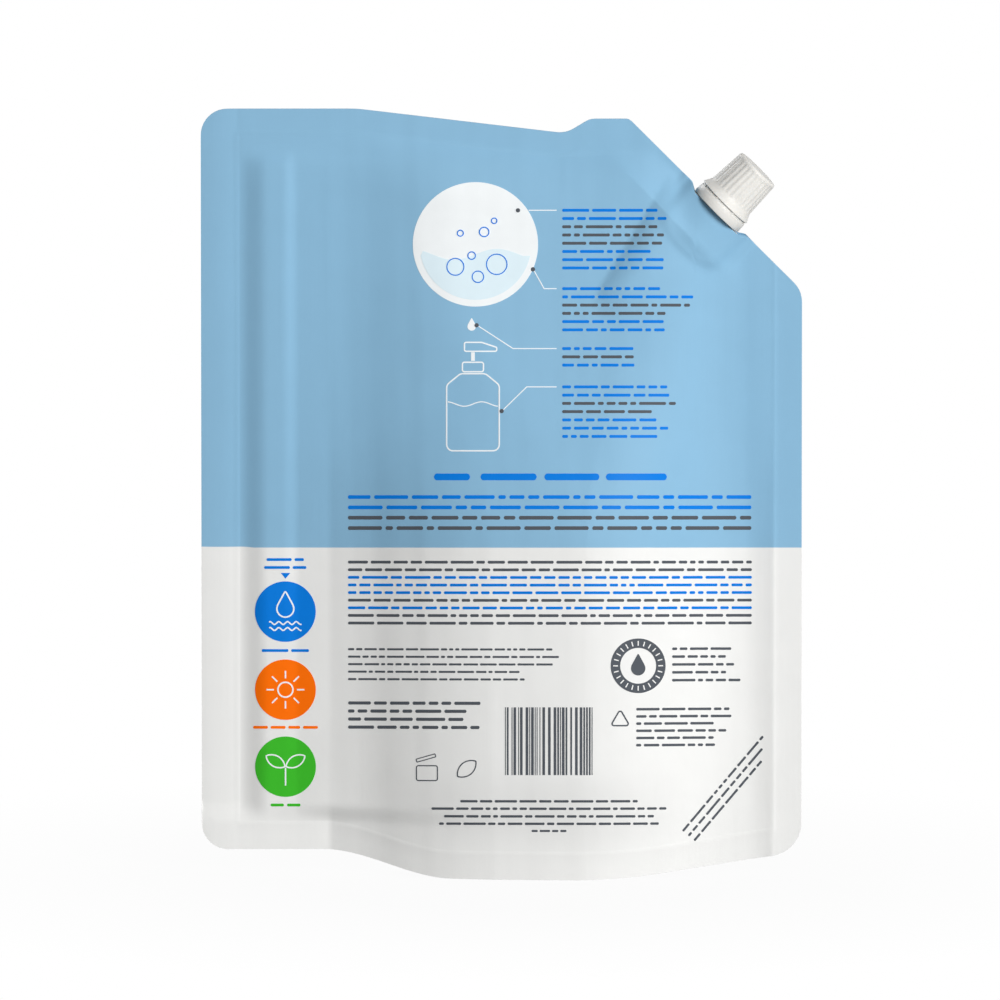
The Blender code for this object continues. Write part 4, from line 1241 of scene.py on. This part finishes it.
class PACK_OT_small_marks(bpy.types.Operator):
    """Lay the ring badge, the bar pattern and the small outline marks"""

    bl_idname = "pack.small_marks"
    bl_label = "Small marks"

    def execute(self, context):
        v = settings(context)
        face = FilmFace(v.layout)
        grey = InkSheet(face)
        light = InkSheet(face, 2)
        badge = Vector((174.0, 83.5)) * MM
        grey.stroke(circle(badge, 9.1 * MM, 72), 3.8 * MM, closed=True)
        grey.patch(badge, drop_outline(badge + Vector((0, -1.0)) * MM, 2.9 * MM))
        for ray in spokes(24):
            light.stroke(around(badge, [8.1 * ray, 10.0 * ray]), 0.45 * MM)
        self.bar_pattern(grey)
        triangle = [4.4 * towards(angle) for angle in (210, 330, 90)]
        grey.loop(Vector((166.8, 61.6)) * MM, triangle, 0.8, 0.6)
        jar = Vector((89.6, 41.4)) * MM
        grey.loop(jar, [(-4.2, -4.2), (4.2, -4.2), (4.2, 1.8), (-4.2, 1.8)], 0.8, 0.45)
        grey.loop(jar, [(-4.0, 3.2), (3.6, 5.4), (3.2, 6.6), (-4.4, 4.4)], 0.3, 0.4)
        leaf = Vector((105.5, 42.0)) * MM
        grey.stroke(leaf_outline(leaf, 9.5 * MM, 5.4 * MM, math.radians(40)), 0.5 * MM, closed=True)
        pointer = Vector((33.0, 119.8)) * MM
        blue = InkSheet(face)
        blue.patch(pointer, around(pointer, [(1.9, 1.0), (-1.9, 1.0), (0, -1.3)]))
        blue.finish("pointer_blue", v.colours.ink_blue)
        grey.finish("marks_grey", v.colours.ink_grey)
        light.finish("marks_light", v.colours.film_white)
        return {"FINISHED"}

    def bar_pattern(self, sheet):
        """Upright bars of random width, which say nothing."""
        draw = random.Random(3)
        low = 39.5 * MM
        high = 66.8 * MM
        right = 120.8
        end = 156.0
        while right < end:
            wide = draw.choice((0.35, 0.35, 0.7, 1.05))
            centre = (right + wide / 2) * MM
            sheet.stroke([(centre, high), (centre, low)], wide * MM)
            right += wide + draw.choice((0.4, 0.4, 0.8, 1.2))


class PACK_OT_spout(bpy.types.Operator):
    """Build the spout with its threaded neck and the tamper band"""

    bl_idname = "pack.spout"
    bl_label = "Spout and band"

    def execute(self, context):
        v = settings(context)
        c = v.closure
        at = closure_levels(c)
        material = moulding_material("spout_plastic", v.colours.closure, 0.32)
        low = at.boat_top - c.boat_height
        thread_low = at.thread_start - c.thread_depth
        thread_high = thread_low + NECK_THREAD + 2 * c.thread_depth
        stem = c.neck_radius - 0.8 * MM
        rim = 0.5 * MM
        edge = 0.4 * MM
        rows = 90
        neck = [(c.bore_radius, low), (stem, low), (stem, -c.notch_depth),
                (c.neck_radius, c.fit_gap - c.notch_depth), (c.neck_radius, at.bead_low),
                (c.bead_radius, at.bead_low), (c.bead_radius, at.bead_low + edge),
                (c.neck_radius, at.bead_low + 1.2 * MM)]
        first = len(neck)
        wall_low = at.bead_low + 1.3 * MM
        span = at.neck_top - rim - wall_low
        neck += [(c.neck_radius, wall_low + span * k / rows) for k in range(rows + 1)]
        last = len(neck)
        neck += [(c.neck_radius - 0.3 * rim, at.neck_top - 0.3 * rim), (c.neck_radius - rim, at.neck_top),
                 (c.bore_radius + edge, at.neck_top), (c.bore_radius, at.neck_top - edge)]

        def radius_at(index, angle):
            radius, z = neck[index]
            if first <= index < last:
                radius += c.thread_depth * thread_height(c.thread_lead, z, angle, thread_low, thread_high,
                                                         at.thread_start)
            return radius

        bm = turned(neck, 120, radius_at)
        place_on_spout(bm)
        spout = new_object("spout_neck", bm, material, MOULDED_ANGLE)
        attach(spout, "pack")
        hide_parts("spout")
        plate = self.base_plate(v, at, material)
        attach(plate, "pack")
        band = self.band(c, at, moulding_material("band_plastic", v.colours.closure, 0.45))
        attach(band, "pack")
        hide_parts("tamper_band")
        return {"FINISHED"}

    def base_plate(self, v, at, material):
        """Top of the welded base, seen between the two films."""
        shape = PouchShape(v.pouch, v.closure)
        half = v.closure.boat_length / 2
        shares = [math.sin(math.radians(a)) for a in range(-90, 91, 6)]
        side = [(s * half, shape.boat_half_width(s * half)) for s in shares]
        outline = side + [(x, -y) for x, y in reversed(side)]
        thickness = 3 * MM
        levels = (at.boat_top - thickness, at.boat_top)
        bm = bmesh.new()
        rings = [[bm.verts.new((x, y, z)) for x, y in outline] for z in levels]
        for k in range(len(outline)):
            n = (k + 1) % len(outline)
            bm.faces.new((rings[0][k], rings[0][n], rings[1][n], rings[1][k]))
        bm.faces.new(rings[0])
        bm.faces.new(rings[1])
        place_on_spout(bm)
        return new_object("spout_base_plate", bm, material, MOULDED_ANGLE)

    def band(self, c, at, material):
        """The tamper band with its tear bridges."""
        low = -c.band_sink
        inner = c.neck_radius + c.fit_gap
        outer = c.band_radius - c.band_taper
        wall = outer - c.band_wall
        edge = 0.5 * MM
        web_top = at.cap_base - 0.1 * MM
        loop = [(inner, low), (c.band_radius - edge, low), (c.band_radius - 0.3 * edge, low + 0.3 * edge),
                (c.band_radius, low + edge), (outer + 0.02 * MM, at.band_top - edge),
                (outer - 0.12 * MM, at.band_top - 0.12 * MM), (outer - 0.4 * MM, at.band_top),
                (outer - 0.3 * MM, at.band_top), (outer - 0.35 * MM, web_top),
                (wall, web_top), (wall, low + c.band_floor), (inner, low + c.band_floor)]
        bm = turned(loop, 144)
        for k in range(c.bridges):
            turn = Matrix.Rotation(2 * math.pi * (k + 0.5) / c.bridges, 4, "Z")
            move = Matrix.Translation((outer - 0.25 * MM, 0, at.band_top + c.tear_gap / 2 - 0.05 * MM))
            size = Matrix.Diagonal((0.4 * MM, c.bridge_size, c.tear_gap, 1))
            bmesh.ops.create_cube(bm, size=1, matrix=turn @ move @ size)
        place_on_spout(bm)
        return new_object("tamper_band_ring", bm, material, MOULDED_ANGLE)


class PACK_OT_cap(bpy.types.Operator):
    """Build the fluted screw cap and its sealing wad"""

    bl_idname = "pack.cap"
    bl_label = "Cap and wad"

    def execute(self, context):
        v = settings(context)
        c = v.closure
        at = closure_levels(c)
        cap = self.cap(c, at, moulding_material("cap_plastic", v.colours.closure, 0.45))
        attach(cap, "cap")
        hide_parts("screw_cap")
        radius = c.neck_radius + c.thread_depth
        low = at.wad_top - c.wad_thickness
        edge = 0.2 * MM
        loop = [(0, low), (radius - edge, low), (radius, low + edge), (radius, at.wad_top - edge),
                (radius - edge, at.wad_top), (0, at.wad_top)]
        bm = turned(loop, 96)
        place_on_spout(bm)
        material = moulding_material("wad_foam", v.colours.wad, 0.6)
        wad = new_object("sealing_wad_disc", bm, material, MOULDED_ANGLE)
        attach(wad, "cap_seal")
        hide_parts("sealing_wad")
        return {"FINISHED"}

    def cap(self, c, at, material):
        """The cap: outer profile with flutes, and a threaded bore."""
        top = at.cap_top
        edge_z = top - c.edge_round
        skirt_top = at.cap_base + c.skirt_height
        flare = c.skirt_radius - c.body_radius
        profile = [(0, top, 0.0), (c.top_radius - c.edge_round - 2 * MM, top, 0.0)]
        round_steps = 8
        for k in range(round_steps + 1):
            angle = math.radians(90 - 90 * k / round_steps)
            profile.append((c.top_radius - c.edge_round * (1 - math.cos(angle)),
                            edge_z + c.edge_round * math.sin(angle), 0.0))
        body_rows = 40
        for k in range(1, body_rows + 1):
            t = k / body_rows
            z = edge_z + (skirt_top - edge_z) * t
            room = min(z - skirt_top, edge_z - z) / c.flute_tip
            profile.append((c.top_radius + (c.body_radius - c.top_radius) * t, z, min(max(room, 0.0), 1.0)))
        cone = [(skirt_top, c.body_radius),
                (at.cap_base + 0.62 * c.skirt_height, c.body_radius + 0.35 * flare),
                (at.cap_base + 0.3 * c.skirt_height, c.body_radius + 0.75 * flare),
                (at.cap_base + 0.1 * c.skirt_height, c.skirt_radius)]
        cone_steps = 3
        for high, low in zip(cone, cone[1:]):
            for k in range(1, cone_steps + 1):
                t = k / cone_steps
                profile.append((high[1] + (low[1] - high[1]) * t, high[0] + (low[0] - high[0]) * t, 0.0))
        profile += [(c.skirt_radius - 0.05 * MM, at.cap_base + 0.15 * MM, 0.0),
                    (c.skirt_radius - c.fit_gap, at.cap_base, 0.0),
                    (c.skirt_radius - 1.2 * MM, at.cap_base, 0.0)]
        bore = c.neck_radius + c.thread_depth + c.fit_gap
        profile.append((bore, at.cap_base + 0.55 * c.skirt_height, 0.0))
        first = len(profile)
        bore_low = at.cap_base + 0.6 * c.skirt_height
        bore_rows = 60
        for k in range(bore_rows + 1):
            profile.append((bore, bore_low + (at.ceiling - bore_low) * k / bore_rows, 0.0))
        last = len(profile)
        profile.append((0, at.ceiling, 0.0))
        start = at.thread_start + c.thread_lead / 4

        def radius_at(index, angle):
            radius, z, weight = profile[index]
            if first <= index < last:
                return radius - c.thread_depth * thread_height(
                    c.thread_lead, z, angle, start - 0.5 * MM, start + CAP_THREAD, start)
            if weight:
                groove = 0.5 - 0.5 * math.cos(angle * c.flutes)
                radius -= c.flute_depth * max(groove - (1 - weight) ** 2, 0.0)
            return radius

        bm = turned([(r, z) for r, z, _ in profile], c.flutes * 8, radius_at)
        place_on_spout(bm)
        return new_object("screw_cap_shell", bm, material, CAP_ANGLE)


def look_from(obj, target, back, away):
    """Put a lamp or camera into the scene, at a distance from what it looks at."""
    obj.location = target + back * away
    obj.rotation_mode = "QUATERNION"
    obj.rotation_quaternion = (-back).to_track_quat("-Z", "Y")
    bpy.context.scene.collection.objects.link(obj)


class PACK_OT_stage(bpy.types.Operator):
    """Set up the floor, the lamps, the world and the camera"""

    bl_idname = "pack.stage"
    bl_label = "Studio"

    def execute(self, context):
        studio = settings(context).studio
        self.floor()
        self.world(context, studio.ambient)
        self.lamp("key", studio, studio.key_power, studio.key_azimuth, studio.key_elevation)
        self.lamp("back", studio, studio.back_power, studio.key_azimuth + math.pi,
                  2 * studio.key_elevation)
        self.camera(context, studio)
        context.scene.view_settings.view_transform = "Standard"
        return {"FINISHED"}

    def floor(self):
        """A wide pale floor that keeps the pack's soft shadow."""
        material, shader, tree = principled("floor_paper", 0.1, 0.9)
        shader.inputs["Base Color"].default_value = (FLOOR_TONE, FLOOR_TONE, FLOOR_TONE, 1.0)
        place = tree.add("ShaderNodeTexCoord").outputs["Object"]
        away = tree.add("ShaderNodeVectorMath", {0: place}, operation="LENGTH").outputs["Value"]
        far = tree.add("ShaderNodeMapRange", {"Value": away, "From Min": 0.1, "From Max": 0.3,
                                              "To Min": 0.96, "To Max": 1.0}).outputs[0]
        glow = tree.add("ShaderNodeEmission", {"Color": (1, 1, 1, 1), "Strength": 1.0})
        mix = tree.add("ShaderNodeMixShader", {0: tree.maths("MULTIPLY", tree.seen(), far),
                                               1: shader.outputs[0], 2: glow.outputs[0]})
        out = next(n for n in tree.tree.nodes if n.type == "OUTPUT_MATERIAL")
        tree.tree.links.new(mix.outputs[0], out.inputs["Surface"])
        bm = bmesh.new()
        bmesh.ops.create_grid(bm, x_segments=8, y_segments=8, size=6.0)
        floor = new_object("floor", bm, material)

    def world(self, context, ambient):
        """Even light, and a white background for what the camera and gloss see."""
        world = bpy.data.worlds.new("studio")
        context.scene.world = world
        world.use_nodes = True
        tree = NodeTree(world.node_tree)
        background = world.node_tree.nodes["Background"]
        background.inputs["Color"].default_value = (1, 1, 1, 1)
        strength = tree.maths("MAXIMUM", tree.seen(), ambient)
        world.node_tree.links.new(strength, background.inputs["Strength"])

    def lamp(self, name, studio, power, azimuth, elevation):
        """A soft area lamp that aims at the pack's middle."""
        data = bpy.data.lights.new(name, "AREA")
        data.shape = "DISK"
        data.size = studio.key_size
        data.energy = power
        lamp = bpy.data.objects.new(name, data)
        back = Vector((math.sin(azimuth) * math.cos(elevation), -math.cos(azimuth) * math.cos(elevation),
                       math.sin(elevation)))
        look_from(lamp, Vector((0, 0, studio.aim_z)), back, studio.key_distance)

    def camera(self, context, studio):
        """A long lens, a little above the pack's middle."""
        data = bpy.data.cameras.new("camera")
        data.lens = studio.focal_length
        camera = bpy.data.objects.new("camera", data)
        away = studio.frame_width * studio.focal_length / data.sensor_width
        back = Vector((0, -math.cos(studio.elevation), math.sin(studio.elevation)))
        look_from(camera, Vector((studio.aim_x, 0, studio.aim_z)), back, away)
        data.clip_start = 0.01
        data.clip_end = 100.0
        context.scene.camera = camera


OPERATORS = (PACK_OT_film, PACK_OT_text, PACK_OT_refill_panel, PACK_OT_use_discs, PACK_OT_small_marks,
             PACK_OT_spout, PACK_OT_cap, PACK_OT_stage)
GROUPS = {"pouch_sizes": PouchSizes, "closure_sizes": ClosureSizes, "pack_colours": PackColours,
          "print_layout": PrintLayout, "studio_settings": StudioSettings}


class PACK_PT_panel(bpy.types.Panel):
    """Lists the builders and the main sizes and colours"""

    bl_idname = "PACK_PT_panel"
    bl_label = "Refill pouch"
    bl_space_type = "VIEW_3D"
    bl_region_type = "UI"
    bl_category = "Refill pouch"

    def draw(self, context):
        layout = self.layout
        for operator in OPERATORS:
            layout.operator(operator.bl_idname)
        for attribute, kind in GROUPS.items():
            box = layout.box()
            for name in kind.__annotations__:
                box.prop(getattr(context.scene, attribute), name)


def register():
    for item in (*GROUPS.values(), *OPERATORS, PACK_PT_panel):
        bpy.utils.register_class(item)
    for attribute, kind in GROUPS.items():
        setattr(bpy.types.Scene, attribute, bpy.props.PointerProperty(type=kind))


def unregister():
    for attribute in GROUPS:
        delattr(bpy.types.Scene, attribute)
    for item in reversed((*GROUPS.values(), *OPERATORS, PACK_PT_panel)):
        bpy.utils.unregister_class(item)


def main():
    """Register the builders and build every piece in order."""
    register()
    bpy.ops.pack.film()
    bpy.ops.pack.text()
    bpy.ops.pack.refill_panel()
    bpy.ops.pack.use_discs()
    bpy.ops.pack.small_marks()
    bpy.ops.pack.spout()
    bpy.ops.pack.cap()
    bpy.ops.pack.stage()


if __name__ == "__main__":
    main()
